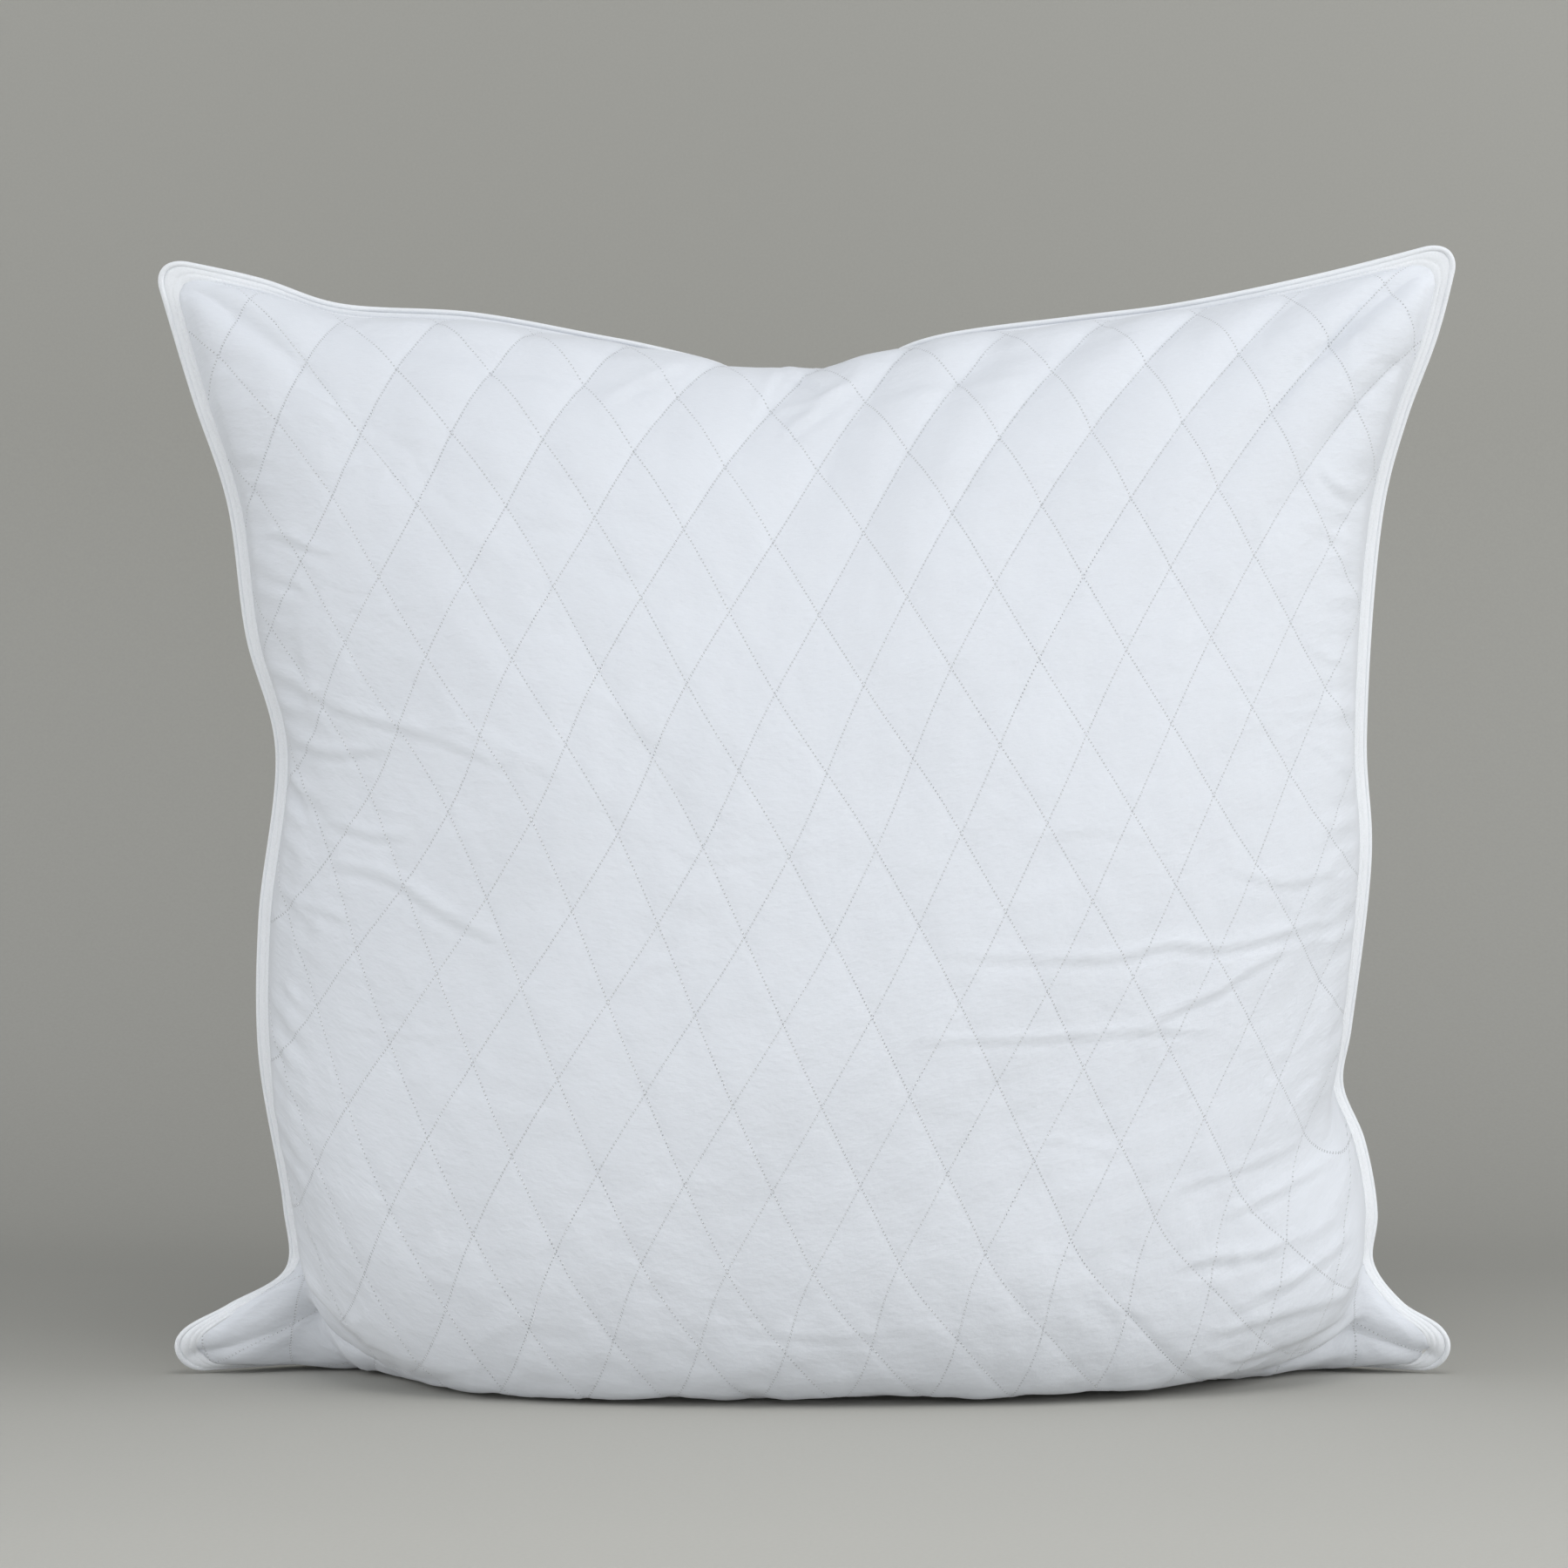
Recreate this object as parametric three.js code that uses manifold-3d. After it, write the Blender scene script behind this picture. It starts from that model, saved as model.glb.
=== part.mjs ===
// A square quilted bed pillow that stands on its lower edge.
//
// Millimetres, +Z up, front towards -Y, origin at the bottom centre of the whole pillow.
// The quilted cover is two panels (cotton, wadding, lining) sewn together round a piping
// cord, with a zip low on the back. A down-filled inner pillow lies inside it.
//
// Every soft layer is worked out from three shapes: the middle surface, which runs from
// seam to seam, and how far the front and the back of the pillow stand away from it.
// a runs across the pillow from -1 to 1, and b runs up it from -1 to 1.

import * as THREE from "three";
import { mergeVertices } from "three/addons/utils/BufferGeometryUtils.js";
import Module from "manifold-3d";

const wasm = await Module();
wasm.setup();

// ---------------------------------------------------------------- driving dimensions

const CORNER_ROUND = 0.055; // corner radius as a share of half the width, about 20 mm
const CORNER_SPAN = 0.09; // stretch of each edge's parameter that the round corner takes
const COVER_EDGE = 0.989; // the cover ends here, just inside the piping
const FLANGE_EDGE = 0.977; // the two panels lie flat together from here outwards
const INNER_PILLOW = 0.915; // the inner pillow's seam
const INNER_FULLNESS = 0.92; // its thickness as a share of the cover's

const SIDE_ROUNDNESS = 0.55; // exponent that shapes how fast the pillow thins at its sides
const BASE_SQUARENESS = 4.5; // the base keeps its full depth almost to the side seams
const TOP_SQUARENESS = 2.2; // higher up the section is close to an ellipse
const TOE_SQUARENESS = 12; // the bottom seam keeps its line almost to the ears

const CORD_RADIUS = 1.55;
const CORD_SIDES = 7;
const TAPE_INNER_RADIUS = 2.3;
const TAPE_OUTER_RADIUS = 2.8;
const TAPE_LEG_INNER = 0.3; // the two legs' distance from the middle surface
const TAPE_LEG_OUTER = 0.65;
const TAPE_LEG_LENGTH = 4;

const CHAIN_HALF_LENGTH = 270;
const ZIP_TAPE_HALF_LENGTH = 276;
const ZIP_TAPE_THICKNESS = 0.6;
const ZIP_TAPE_EDGE = 8.2; // from the chain's middle line to the tape's far edge
const COIL_INNER = 0.6; // from the chain's middle line to the coil
const COIL_OUTER = 2.4;
const COIL_THICKNESS = 1.8;
const PART_GAP = 0.3;

const SLIDER_LENGTH = 10;
const SLIDER_WIDTH = 8;
const SLIDER_PLATE = 1.0;
const SLIDER_PLATE_AT = 1.2; // from the chain's middle plane to the plate
const SLIDER_PARKED_AT = -258; // along the chain, when the zip is closed
const STOP_LENGTH = 2.5;

const PULL_PIN_HEIGHT = 3.2; // above the chain's middle plane
const PULL_PIN_RADIUS = 0.5;
const PULL_REACH = 17;
const PULL_THICKNESS = 1.2;
const PULL_WIDTH = 7;

// Stations across and up the pillow, from the middle to the edge.
const HALF_STATIONS = [0, 0.17, 0.34, 0.5, 0.64, 0.76, 0.86, 0.93, 0.985, 1];
const RINGS = HALF_STATIONS.length - 1;
const STATIONS = [
  ...HALF_STATIONS.slice(1).reverse().map((s) => -s),
  ...HALF_STATIONS,
];

// Each soft layer's two faces: how deep they lie under the cover's outside, how far they
// stand from the middle surface at the seam, and how high they are above the floor.
const FACES = {
  coverOuter: { depth: 0, lift: 2.8, floor: 0 },
  coverInner: { depth: 0.7, lift: 2.1, floor: 0.7 },
  waddingOuter: { depth: 1.3, lift: 1.55, floor: 1.0 },
  waddingInner: { depth: 4.3, lift: 1.35, floor: 4.0 },
  liningOuter: { depth: 4.7, lift: 1.15, floor: 4.3 },
  liningInner: { depth: 5.2, lift: 0.9, floor: 4.7 },
  caseOuter: { depth: 0, lift: 0.65, floor: 5.6 },
  caseInner: { depth: 0.5, lift: 0.25, floor: 6.1 },
  fill: { depth: 1.3, lift: 0.1, floor: 6.6 },
};

// ---------------------------------------------------------------- seam and profiles

const curve = (points) =>
  new THREE.CatmullRomCurve3(points.map((p) => new THREE.Vector3(...p)));
const profile = (points) => curve(points.map(([y, z]) => [0, y, z]));

// The seam's four sides, as they would run to sharp corners.
const bottomSeam = curve([
  [-378, 4, 3.6], [-345, 20, 3.6], [-300, 38, 3.6], [-150, 38, 3.6],
  [150, 38, 3.6], [300, 38, 3.6], [350, 20, 3.6], [383, 4, 3.6],
]);
const topSeam = curve([
  [-389, 4, 664], [-326, 8, 651], [-282, 12, 637], [-200, 18, 632],
  [-114, 22, 617], [-13, 25, 600], [88, 22, 621], [160, 19, 630],
  [218, 16, 637], [300, 10, 653], [386, 4, 674],
]);
const leftSeam = curve([
  [-378, 4, 3.6], [-372, 5, 24], [-345, 8, 40], [-310, 14, 62],
  [-312, 18, 100], [-327, 20, 190], [-327, 20, 270], [-317, 20, 374],
  [-334, 18, 439], [-345, 14, 520], [-365, 9, 582], [-389, 4, 664],
]);
const rightSeam = curve([
  [383, 4, 3.6], [376, 5, 26], [352, 8, 42], [335, 13, 66],
  [338, 17, 95], [331, 20, 138], [318, 20, 172], [323, 20, 206],
  [335, 20, 310], [332, 20, 377], [342, 17, 517], [355, 13, 569],
  [373, 8, 620], [386, 4, 674],
]);

// Side profiles down the middle of the pillow, from the bottom seam to the top seam.
const middleProfile = profile([
  [38, 3.6], [29, 3.9], [21, 7], [16, 20], [13, 60], [13, 200], [16, 400], [25, 600],
]);
const frontProfile = profile([
  [38, 3.6], [20, -8], [0, -18], [-50, -20], [-90, -12], [-120, 35], [-133, 110],
  [-135, 230], [-122, 350], [-92, 460], [-45, 560], [-5, 600], [14, 604], [25, 600],
]);
const backProfile = profile([
  [38, 3.6], [47, 21], [80, 48], [120, 88], [145, 150], [150, 240],
  [138, 350], [112, 450], [75, 535], [40, 588], [25, 600],
]);

const along = (line, t) => line.getPointAt(THREE.MathUtils.clamp((t + 1) / 2, 0, 1));

// Where a grid point lies on the panel once the corners are rounded.
function panelPoint(a, b) {
  const ring = Math.max(Math.abs(a), Math.abs(b));
  if (ring === 0) return [0, 0];
  const roundOff = (edge, other) => {
    const past = (Math.abs(other) - (1 - CORNER_SPAN)) / CORNER_SPAN;
    if (past <= 0) {
      const straight = (1 - CORNER_ROUND) / (1 - CORNER_SPAN);
      return [edge, other * straight];
    }
    const turn = (past * Math.PI) / 4;
    const centre = 1 - CORNER_ROUND;
    return [
      Math.sign(edge) * (centre + CORNER_ROUND * Math.cos(turn)),
      Math.sign(other) * (centre + CORNER_ROUND * Math.sin(turn)),
    ];
  };
  if (Math.abs(a) >= Math.abs(b)) {
    const [s, t] = roundOff(Math.sign(a), b / ring);
    return [s * ring, t * ring];
  }
  const [t, s] = roundOff(Math.sign(b), a / ring);
  return [s * ring, t * ring];
}

// The patch that the four sides span.
function patch(s, t) {
  const across = (s + 1) / 2;
  const up = (t + 1) / 2;
  const point = new THREE.Vector3();
  point.addScaledVector(along(leftSeam, t), 1 - across);
  point.addScaledVector(along(rightSeam, t), across);
  point.addScaledVector(along(bottomSeam, s), 1 - up);
  point.addScaledVector(along(topSeam, s), up);
  point.addScaledVector(leftSeam.getPoint(0), -(1 - across) * (1 - up));
  point.addScaledVector(rightSeam.getPoint(0), -across * (1 - up));
  point.addScaledVector(leftSeam.getPoint(1), -(1 - across) * up);
  point.addScaledVector(rightSeam.getPoint(1), -across * up);
  return point;
}

function middle(a, b) {
  const [s, t] = panelPoint(a, b);
  const point = patch(s, t);
  const toe = along(middleProfile, b).sub(patch(0, b));
  toe.x = 0;
  return point.addScaledVector(toe, 1 - Math.abs(a) ** TOE_SQUARENESS);
}

// The middle surface's unit normal, towards the front.
function middleNormal(a, b) {
  const step = 0.01;
  const inside = (v) => THREE.MathUtils.clamp(v, -1 + step, 1 - step);
  const [a0, b0] = [inside(a), inside(b)];
  const across = middle(a0 + step, b0).sub(middle(a0 - step, b0));
  const up = middle(a0, b0 + step).sub(middle(a0, b0 - step));
  return across.cross(up).normalize();
}

// How far one side of the pillow stands away from the middle surface.
function bulge(side, a, b) {
  const a1 = THREE.MathUtils.clamp(a / FLANGE_EDGE, -1, 1);
  const b1 = THREE.MathUtils.clamp(b / FLANGE_EDGE, -1, 1);
  const high = THREE.MathUtils.smoothstep(b1, -1, -0.2);
  const squareness = THREE.MathUtils.lerp(BASE_SQUARENESS, TOP_SQUARENESS, high);
  const width = (1 - Math.abs(a1) ** squareness) ** SIDE_ROUNDNESS;
  const line = side === "front" ? frontProfile : backProfile;
  return along(line, b1).sub(along(middleProfile, b1)).multiplyScalar(width);
}

// A point of a layer's face. scale 1 is the cover, and less is the inner pillow.
function facePoint(side, face, a, b, scale = 1, fullness = 1) {
  const out = bulge(side, a / scale, b / scale).multiplyScalar(fullness);
  const length = out.length();
  const kept = length > 0 ? Math.max(0, 1 - face.depth / length) : 0;
  const lift = side === "front" ? face.lift : -face.lift;
  const point = middle(a, b)
    .addScaledVector(out, kept)
    .addScaledVector(middleNormal(a, b), lift);
  point.z = Math.max(point.z, face.floor);
  return point;
}

// ---------------------------------------------------------------- solids

// A closed solid between two faces over the station grid. `has` says which cells it covers.
function layer(frontFace, backFace, edge, has) {
  const size = STATIONS.length;
  const index = (i, j) => i * size + j;
  const positions = [];
  for (const face of [frontFace, backFace])
    for (const a of STATIONS)
      for (const b of STATIONS) positions.push(...face(a * edge, b * edge).toArray());
  const back = size * size;
  const triangles = [];
  const quad = (p, q, r, s) => triangles.push(p, q, r, p, r, s);
  const cell = (i, j) => i >= 0 && j >= 0 && i < size - 1 && j < size - 1 && has(i, j);
  const wall = (p, q) => quad(p, p + back, q + back, q);
  for (let i = 0; i < size - 1; i++)
    for (let j = 0; j < size - 1; j++) {
      if (!cell(i, j)) continue;
      const [p, q, r, s] = [index(i, j), index(i + 1, j), index(i + 1, j + 1), index(i, j + 1)];
      quad(p, q, r, s);
      quad(p + back, s + back, r + back, q + back);
      if (!cell(i, j - 1)) wall(p, q);
      if (!cell(i + 1, j)) wall(q, r);
      if (!cell(i, j + 1)) wall(r, s);
      if (!cell(i - 1, j)) wall(s, p);
    }
  const geometry = new THREE.BufferGeometry();
  geometry.setAttribute("position", new THREE.Float32BufferAttribute(positions, 3));
  geometry.setIndex(triangles);
  return geometry;
}

// Cells at least `rings` away from the edge.
const within = (rings) => (i, j) => {
  const last = 2 * RINGS - 1 - rings;
  return i >= rings && j >= rings && i <= last && j <= last;
};

// The zip's window: the second row up from the bottom, between the outer columns.
const ZIP_ROWS = [1, 2];
const ZIP_COLUMNS_IN = 4;
const zipWindow = (i, j) =>
  j >= ZIP_ROWS[0] && j < ZIP_ROWS[1] && i >= ZIP_COLUMNS_IN && i < 2 * RINGS - ZIP_COLUMNS_IN;

// One layer of one panel, from its outer face to its inner face.
function panelLayer(side, outer, inner, has) {
  const outerFace = (a, b) => facePoint(side, outer, a, b);
  const innerFace = (a, b) => facePoint(side, inner, a, b);
  return side === "front"
    ? layer(outerFace, innerFace, COVER_EDGE, has)
    : layer(innerFace, outerFace, COVER_EDGE, has);
}

const innerPillowFace = (side, face) => (a, b) =>
  facePoint(side, face, a, b, INNER_PILLOW, INNER_FULLNESS);

function innerCase(side) {
  const faces = [FACES.caseOuter, FACES.caseInner].map((face) => innerPillowFace(side, face));
  if (side === "back") faces.reverse();
  return layer(faces[0], faces[1], INNER_PILLOW, within(0));
}

function fill() {
  const faces = ["front", "back"].map((side) => innerPillowFace(side, FACES.fill));
  return layer(faces[0], faces[1], INNER_PILLOW, within(1));
}

// Stations once round the seam, each with its outward direction and its front normal.
function seamFrames() {
  const edge = STATIONS.slice(0, -1);
  const loop = [
    ...edge.map((v) => [v, -1]),
    ...edge.map((v) => [1, v]),
    ...edge.map((v) => [-v, 1]),
    ...edge.map((v) => [-1, -v]),
  ];
  const points = loop.map(([a, b]) => middle(a, b));
  return loop.map(([a, b], i) => {
    const next = points[(i + 1) % loop.length];
    const last = points[(i + loop.length - 1) % loop.length];
    const tangent = next.clone().sub(last).normalize();
    const outward = points[i].clone().sub(middle(a * COVER_EDGE, b * COVER_EDGE));
    outward.addScaledVector(tangent, -outward.dot(tangent)).normalize();
    return { at: points[i], outward, normal: outward.clone().cross(tangent).negate() };
  });
}

// A closed section carried round the whole seam. Section points are [outward, frontward].
function sweepRoundSeam(section) {
  const frames = seamFrames();
  const positions = [];
  for (const { at, outward, normal } of frames)
    for (const [out, up] of section)
      positions.push(
        ...at.clone().addScaledVector(outward, out).addScaledVector(normal, up).toArray(),
      );
  const sides = section.length;
  const triangles = [];
  frames.forEach((_, i) => {
    const here = i * sides;
    const next = ((i + 1) % frames.length) * sides;
    for (let k = 0; k < sides; k++) {
      const k1 = (k + 1) % sides;
      triangles.push(here + k, next + k1, next + k, here + k, here + k1, next + k1);
    }
  });
  const geometry = new THREE.BufferGeometry();
  geometry.setAttribute("position", new THREE.Float32BufferAttribute(positions, 3));
  geometry.setIndex(triangles);
  return geometry;
}

const onCircle = (radius, turn) => [radius * Math.cos(turn), radius * Math.sin(turn)];

function pipingCord() {
  const section = Array.from({ length: CORD_SIDES }, (_, k) =>
    onCircle(CORD_RADIUS, (2 * Math.PI * k) / CORD_SIDES),
  );
  return sweepRoundSeam(section);
}

// The bias tape is wrapped round the cord, and its two legs run into the seam.
function pipingTape() {
  const arcSteps = 6;
  const arc = (radius, legAt, reverse) => {
    const mouth = Math.PI - Math.asin(legAt / radius);
    const turns = Array.from({ length: arcSteps + 1 }, (_, k) => -mouth + (2 * mouth * k) / arcSteps);
    if (reverse) turns.reverse();
    return turns.map((turn) => onCircle(radius, turn));
  };
  const outer = arc(TAPE_OUTER_RADIUS, TAPE_LEG_OUTER, false);
  const inner = arc(TAPE_INNER_RADIUS, TAPE_LEG_INNER, true);
  return sweepRoundSeam([
    ...outer,
    [-TAPE_LEG_LENGTH, TAPE_LEG_OUTER],
    [-TAPE_LEG_LENGTH, TAPE_LEG_INNER],
    ...inner,
    [-TAPE_LEG_LENGTH, -TAPE_LEG_INNER],
    [-TAPE_LEG_LENGTH, -TAPE_LEG_OUTER],
  ]);
}

// ---------------------------------------------------------------- zip
// In the zip's own frame x runs along the chain, y up the pillow's back and z outwards.

function box(x, y, z) {
  return new THREE.BoxGeometry(x[1] - x[0], y[1] - y[0], z[1] - z[0]).translate(
    (x[0] + x[1]) / 2,
    (y[0] + y[1]) / 2,
    (z[0] + z[1]) / 2,
  );
}

// An outline with rounded corners, from its low corner to its high corner.
function roundedOutline([x0, y0], [x1, y1], radius) {
  const outline = new THREE.Shape();
  outline.absarc(x1 - radius, y1 - radius, radius, 0, Math.PI / 2, false);
  outline.absarc(x0 + radius, y1 - radius, radius, Math.PI / 2, Math.PI, false);
  outline.absarc(x0 + radius, y0 + radius, radius, Math.PI, 1.5 * Math.PI, false);
  outline.absarc(x1 - radius, y0 + radius, radius, 1.5 * Math.PI, 2 * Math.PI, false);
  outline.closePath();
  return outline;
}

function slab(outline, z0, z1) {
  const solid = new THREE.ExtrudeGeometry(outline, {
    depth: z1 - z0,
    bevelEnabled: false,
    curveSegments: 4,
  });
  return solid.translate(0, 0, z0);
}

function toSolid(geometry) {
  const bare = geometry.index ? geometry.clone() : geometry;
  bare.deleteAttribute("normal");
  bare.deleteAttribute("uv");
  const merged = mergeVertices(bare, 1e-4);
  return new wasm.Manifold(
    new wasm.Mesh({
      numProp: 3,
      vertProperties: merged.attributes.position.array,
      triVerts: new Uint32Array(merged.index.array),
    }),
  );
}

function joined(geometries) {
  const solid = geometries.map(toSolid).reduce((all, next) => all.add(next));
  const mesh = solid.getMesh();
  const geometry = new THREE.BufferGeometry();
  geometry.setAttribute("position", new THREE.BufferAttribute(mesh.vertProperties, 3));
  geometry.setIndex(new THREE.BufferAttribute(mesh.triVerts, 1));
  return geometry;
}

const bothSides = (side, inner, outer) => (side > 0 ? [inner, outer] : [-outer, -inner]);

function zipTape(side) {
  const half = ZIP_TAPE_THICKNESS / 2;
  return box(
    [-ZIP_TAPE_HALF_LENGTH, ZIP_TAPE_HALF_LENGTH],
    bothSides(side, COIL_OUTER + PART_GAP, ZIP_TAPE_EDGE),
    [-half, half],
  );
}

function zipCoil(side) {
  const half = COIL_THICKNESS / 2;
  const [y0, y1] = bothSides(side, COIL_INNER, COIL_OUTER);
  const outline = roundedOutline([-half, y0], [half, y1], 0.5);
  const rod = slab(outline, -CHAIN_HALF_LENGTH, CHAIN_HALF_LENGTH);
  return rod.rotateY(Math.PI / 2);
}

function zipStop(end) {
  const near = CHAIN_HALF_LENGTH + PART_GAP;
  const half = COIL_THICKNESS / 2 + 0.2;
  const outline = roundedOutline(
    [end > 0 ? near : -near - STOP_LENGTH, -COIL_OUTER],
    [end > 0 ? near + STOP_LENGTH : -near, COIL_OUTER],
    0.6,
  );
  return slab(outline, -half, half);
}

function zipSlider() {
  const [halfLength, halfWidth] = [SLIDER_LENGTH / 2, SLIDER_WIDTH / 2];
  const plate = roundedOutline([-halfLength, -halfWidth], [halfLength, halfWidth], 2);
  const far = SLIDER_PLATE_AT + SLIDER_PLATE;
  const lip = 0.6;
  const lipX = [-halfLength + 2, halfLength - 2];
  const pieces = [
    slab(plate, SLIDER_PLATE_AT, far),
    slab(plate, -far, -SLIDER_PLATE_AT),
    box([1.6, 4.2], [-0.3, 0.3], [-SLIDER_PLATE_AT - 0.2, SLIDER_PLATE_AT + 0.2]),
  ];
  for (const side of [-1, 1])
    for (const face of [-1, 1])
      pieces.push(
        box(
          lipX,
          bothSides(side, halfWidth - lip, halfWidth),
          bothSides(face, lip, SLIDER_PLATE_AT + 0.2),
        ),
      );
  return joined([...pieces, sliderBridge(far)]);
}

// The arch over the slider's outer plate that the pull hangs on.
function sliderBridge(plateTop) {
  const [halfSpan, rise, thickness, halfWidth] = [3.6, 2.7, 0.8, 0.7];
  const outline = roundedOutline([-halfSpan, plateTop - 0.3], [halfSpan, plateTop + rise], 0.8);
  const hole = roundedOutline(
    [-halfSpan + thickness, plateTop + 0.05],
    [halfSpan - thickness, plateTop + rise - thickness],
    0.4,
  );
  outline.holes.push(new THREE.Path(hole.getPoints(4).reverse()));
  return slab(outline, -halfWidth, halfWidth).rotateX(Math.PI / 2);
}

// The pull lies along the chain, with its pin under the bridge at x = 0, z = 0.
function zipPull() {
  const half = PULL_THICKNESS / 2;
  const [armInner, armOuter, slotEnd] = [1.1, 2.3, 4.4];
  const arm = (side) =>
    slab(roundedOutline([-0.8, -half], [slotEnd + 1, half], 0.55), 0, armOuter - armInner)
      .rotateX(Math.PI / 2)
      .translate(0, side > 0 ? armOuter : -armInner, 0);
  const tab = roundedOutline([slotEnd, -PULL_WIDTH / 2], [PULL_REACH, PULL_WIDTH / 2], 2.2);
  const pin = new THREE.CylinderGeometry(PULL_PIN_RADIUS, PULL_PIN_RADIUS, 2 * armOuter - 1, 12);
  return joined([arm(-1), arm(1), slab(tab, -half, half), pin]);
}

// ---------------------------------------------------------------- assembly

const cotton = { color: 0xe9edf1, roughness: 0.85, metalness: 0 };
const wadding = { color: 0xf4f4f0, roughness: 1, metalness: 0 };
const lining = { color: 0xf0f0ee, roughness: 0.95, metalness: 0 };
const down = { color: 0xf6f3ea, roughness: 1, metalness: 0 };
const cord = { color: 0xf2f1ec, roughness: 0.9, metalness: 0 };
const zipCloth = { color: 0xeef0f2, roughness: 0.8, metalness: 0 };
const nylon = { color: 0xf4f5f6, roughness: 0.45, metalness: 0 };
const enamelled = { color: 0xe6e8ea, roughness: 0.35, metalness: 0.6 };

function part(name, geometry, finish) {
  const mesh = new THREE.Mesh(geometry, new THREE.MeshStandardMaterial(finish));
  mesh.name = name;
  return mesh;
}

function softParts() {
  const coverHas = {
    front: within(0),
    back: (i, j) => !zipWindow(i, j),
  };
  const panels = ["front", "back"].flatMap((side) => [
    part(
      `${side}_cover`,
      panelLayer(side, FACES.coverOuter, FACES.coverInner, coverHas[side]),
      cotton,
    ),
    part(
      `${side}_wadding`,
      panelLayer(side, FACES.waddingOuter, FACES.waddingInner, within(2)),
      wadding,
    ),
    part(
      `${side}_lining`,
      panelLayer(side, FACES.liningOuter, FACES.liningInner, within(2)),
      lining,
    ),
    part(`inner_case_${side}`, innerCase(side), cotton),
  ]);
  return [
    ...panels,
    part("down_feather_fill", fill(), down),
    part("piping_cord", pipingCord(), cord),
    part("piping_tape", pipingTape(), cotton),
  ];
}

// The zip is straight, and lies across its window in the back panel.
function zip() {
  const low = facePoint("back", FACES.coverInner, 0, STATIONS[ZIP_ROWS[0]] * COVER_EDGE);
  const high = facePoint("back", FACES.coverInner, 0, STATIONS[ZIP_ROWS[1]] * COVER_EDGE);
  const x = new THREE.Vector3(-1, 0, 0);
  const y = high.clone().sub(low).setX(0).normalize();
  const z = x.clone().cross(y);
  const chain = new THREE.Group();
  chain.setRotationFromMatrix(new THREE.Matrix4().makeBasis(x, y, z));
  chain.position.copy(low.add(high).multiplyScalar(0.5));

  const slider = new THREE.Group();
  slider.position.set(SLIDER_PARKED_AT, 0, 0);
  slider.add(part("zip_slider", zipSlider(), enamelled));
  const pull = part("zip_pull", zipPull(), enamelled);
  pull.position.set(0, 0, PULL_PIN_HEIGHT);
  slider.add(pull);

  chain.add(
    part("zip_tape_lower", zipTape(-1), zipCloth),
    part("zip_tape_upper", zipTape(1), zipCloth),
    part("zip_coil_lower", zipCoil(-1), nylon),
    part("zip_coil_upper", zipCoil(1), nylon),
    part("zip_stop_closed_end", zipStop(-1), enamelled),
    part("zip_stop_open_end", zipStop(1), enamelled),
    slider,
  );
  return chain;
}

// The pillow is shifted so that its bottom centre is the origin.
const body = new THREE.Group();
body.add(...softParts(), zip());
const bounds = new THREE.Box3().setFromObject(body, true);
const centre = bounds.getCenter(new THREE.Vector3());
body.position.set(-centre.x, -centre.y, -bounds.min.z);

const pillow = new THREE.Group();
pillow.add(body);

export default pillow;
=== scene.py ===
"""The looks of the quilted bed pillow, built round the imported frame. Metres, +Z up, front towards -Y.

The two panels start on the pillow's own shape and are relaxed by a cloth simulation whose rest shape is the
flat 80 x 80 cm cut, so that their folds come from the cut. Every other soft layer is worked out from these.
a runs across a panel and b up it, from -1 to 1. s and t are the same on the flat cut, with round corners.
"""
import math

import bpy
import numpy as np
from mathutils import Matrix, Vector


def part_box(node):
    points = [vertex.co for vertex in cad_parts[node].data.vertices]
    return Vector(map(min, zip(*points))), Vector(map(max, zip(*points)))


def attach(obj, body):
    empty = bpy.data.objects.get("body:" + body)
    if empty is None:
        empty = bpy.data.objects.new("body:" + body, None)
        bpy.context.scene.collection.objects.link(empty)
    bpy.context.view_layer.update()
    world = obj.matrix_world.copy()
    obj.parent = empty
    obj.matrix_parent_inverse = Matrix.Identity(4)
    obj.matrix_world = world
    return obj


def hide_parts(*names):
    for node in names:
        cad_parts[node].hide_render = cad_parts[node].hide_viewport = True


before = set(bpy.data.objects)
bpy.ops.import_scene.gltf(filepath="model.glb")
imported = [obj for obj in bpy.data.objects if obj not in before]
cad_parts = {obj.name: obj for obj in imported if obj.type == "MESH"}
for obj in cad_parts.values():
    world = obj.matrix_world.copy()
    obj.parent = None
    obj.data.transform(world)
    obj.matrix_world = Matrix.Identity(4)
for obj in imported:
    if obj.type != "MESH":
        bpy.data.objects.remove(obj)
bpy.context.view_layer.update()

MM = 0.001
BODY = "pillow"

# ---- driving sizes

PANEL_HALF = 0.3915        # half the flat cut, from the middle to the inner stitch line
FLANGE_EDGE = 0.977        # the inner stitch line, as a share of the way to the piping
CORNER_ROUND = 0.055       # corner radius as a share of half the width
CORNER_SPAN = 0.09         # stretch of each edge's parameter that a round corner takes
CELLS = 98                 # simulated cells across a panel
FINE = 3                   # each of them is cut in this many for the outer surface

INNER_PILLOW = 0.915       # the inner pillow's seam
INNER_FULLNESS = 0.92      # its thickness as a share of the cover's
MOST_MOVE = 0.014          # furthest that the simulation may carry a point
CLOTH_FRAMES = 46

QUILT_WIDTH = 0.0587       # one diamond, across and up
QUILT_HEIGHT = 0.0900
QUILT_SHIFT = (0.006, 0.012)
QUILT_SPACING = QUILT_WIDTH * QUILT_HEIGHT / math.hypot(QUILT_WIDTH, QUILT_HEIGHT)
STITCH_PITCH = 0.0024
STITCH_LENGTH = 0.0019
THREAD_RADIUS = 0.00017

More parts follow.
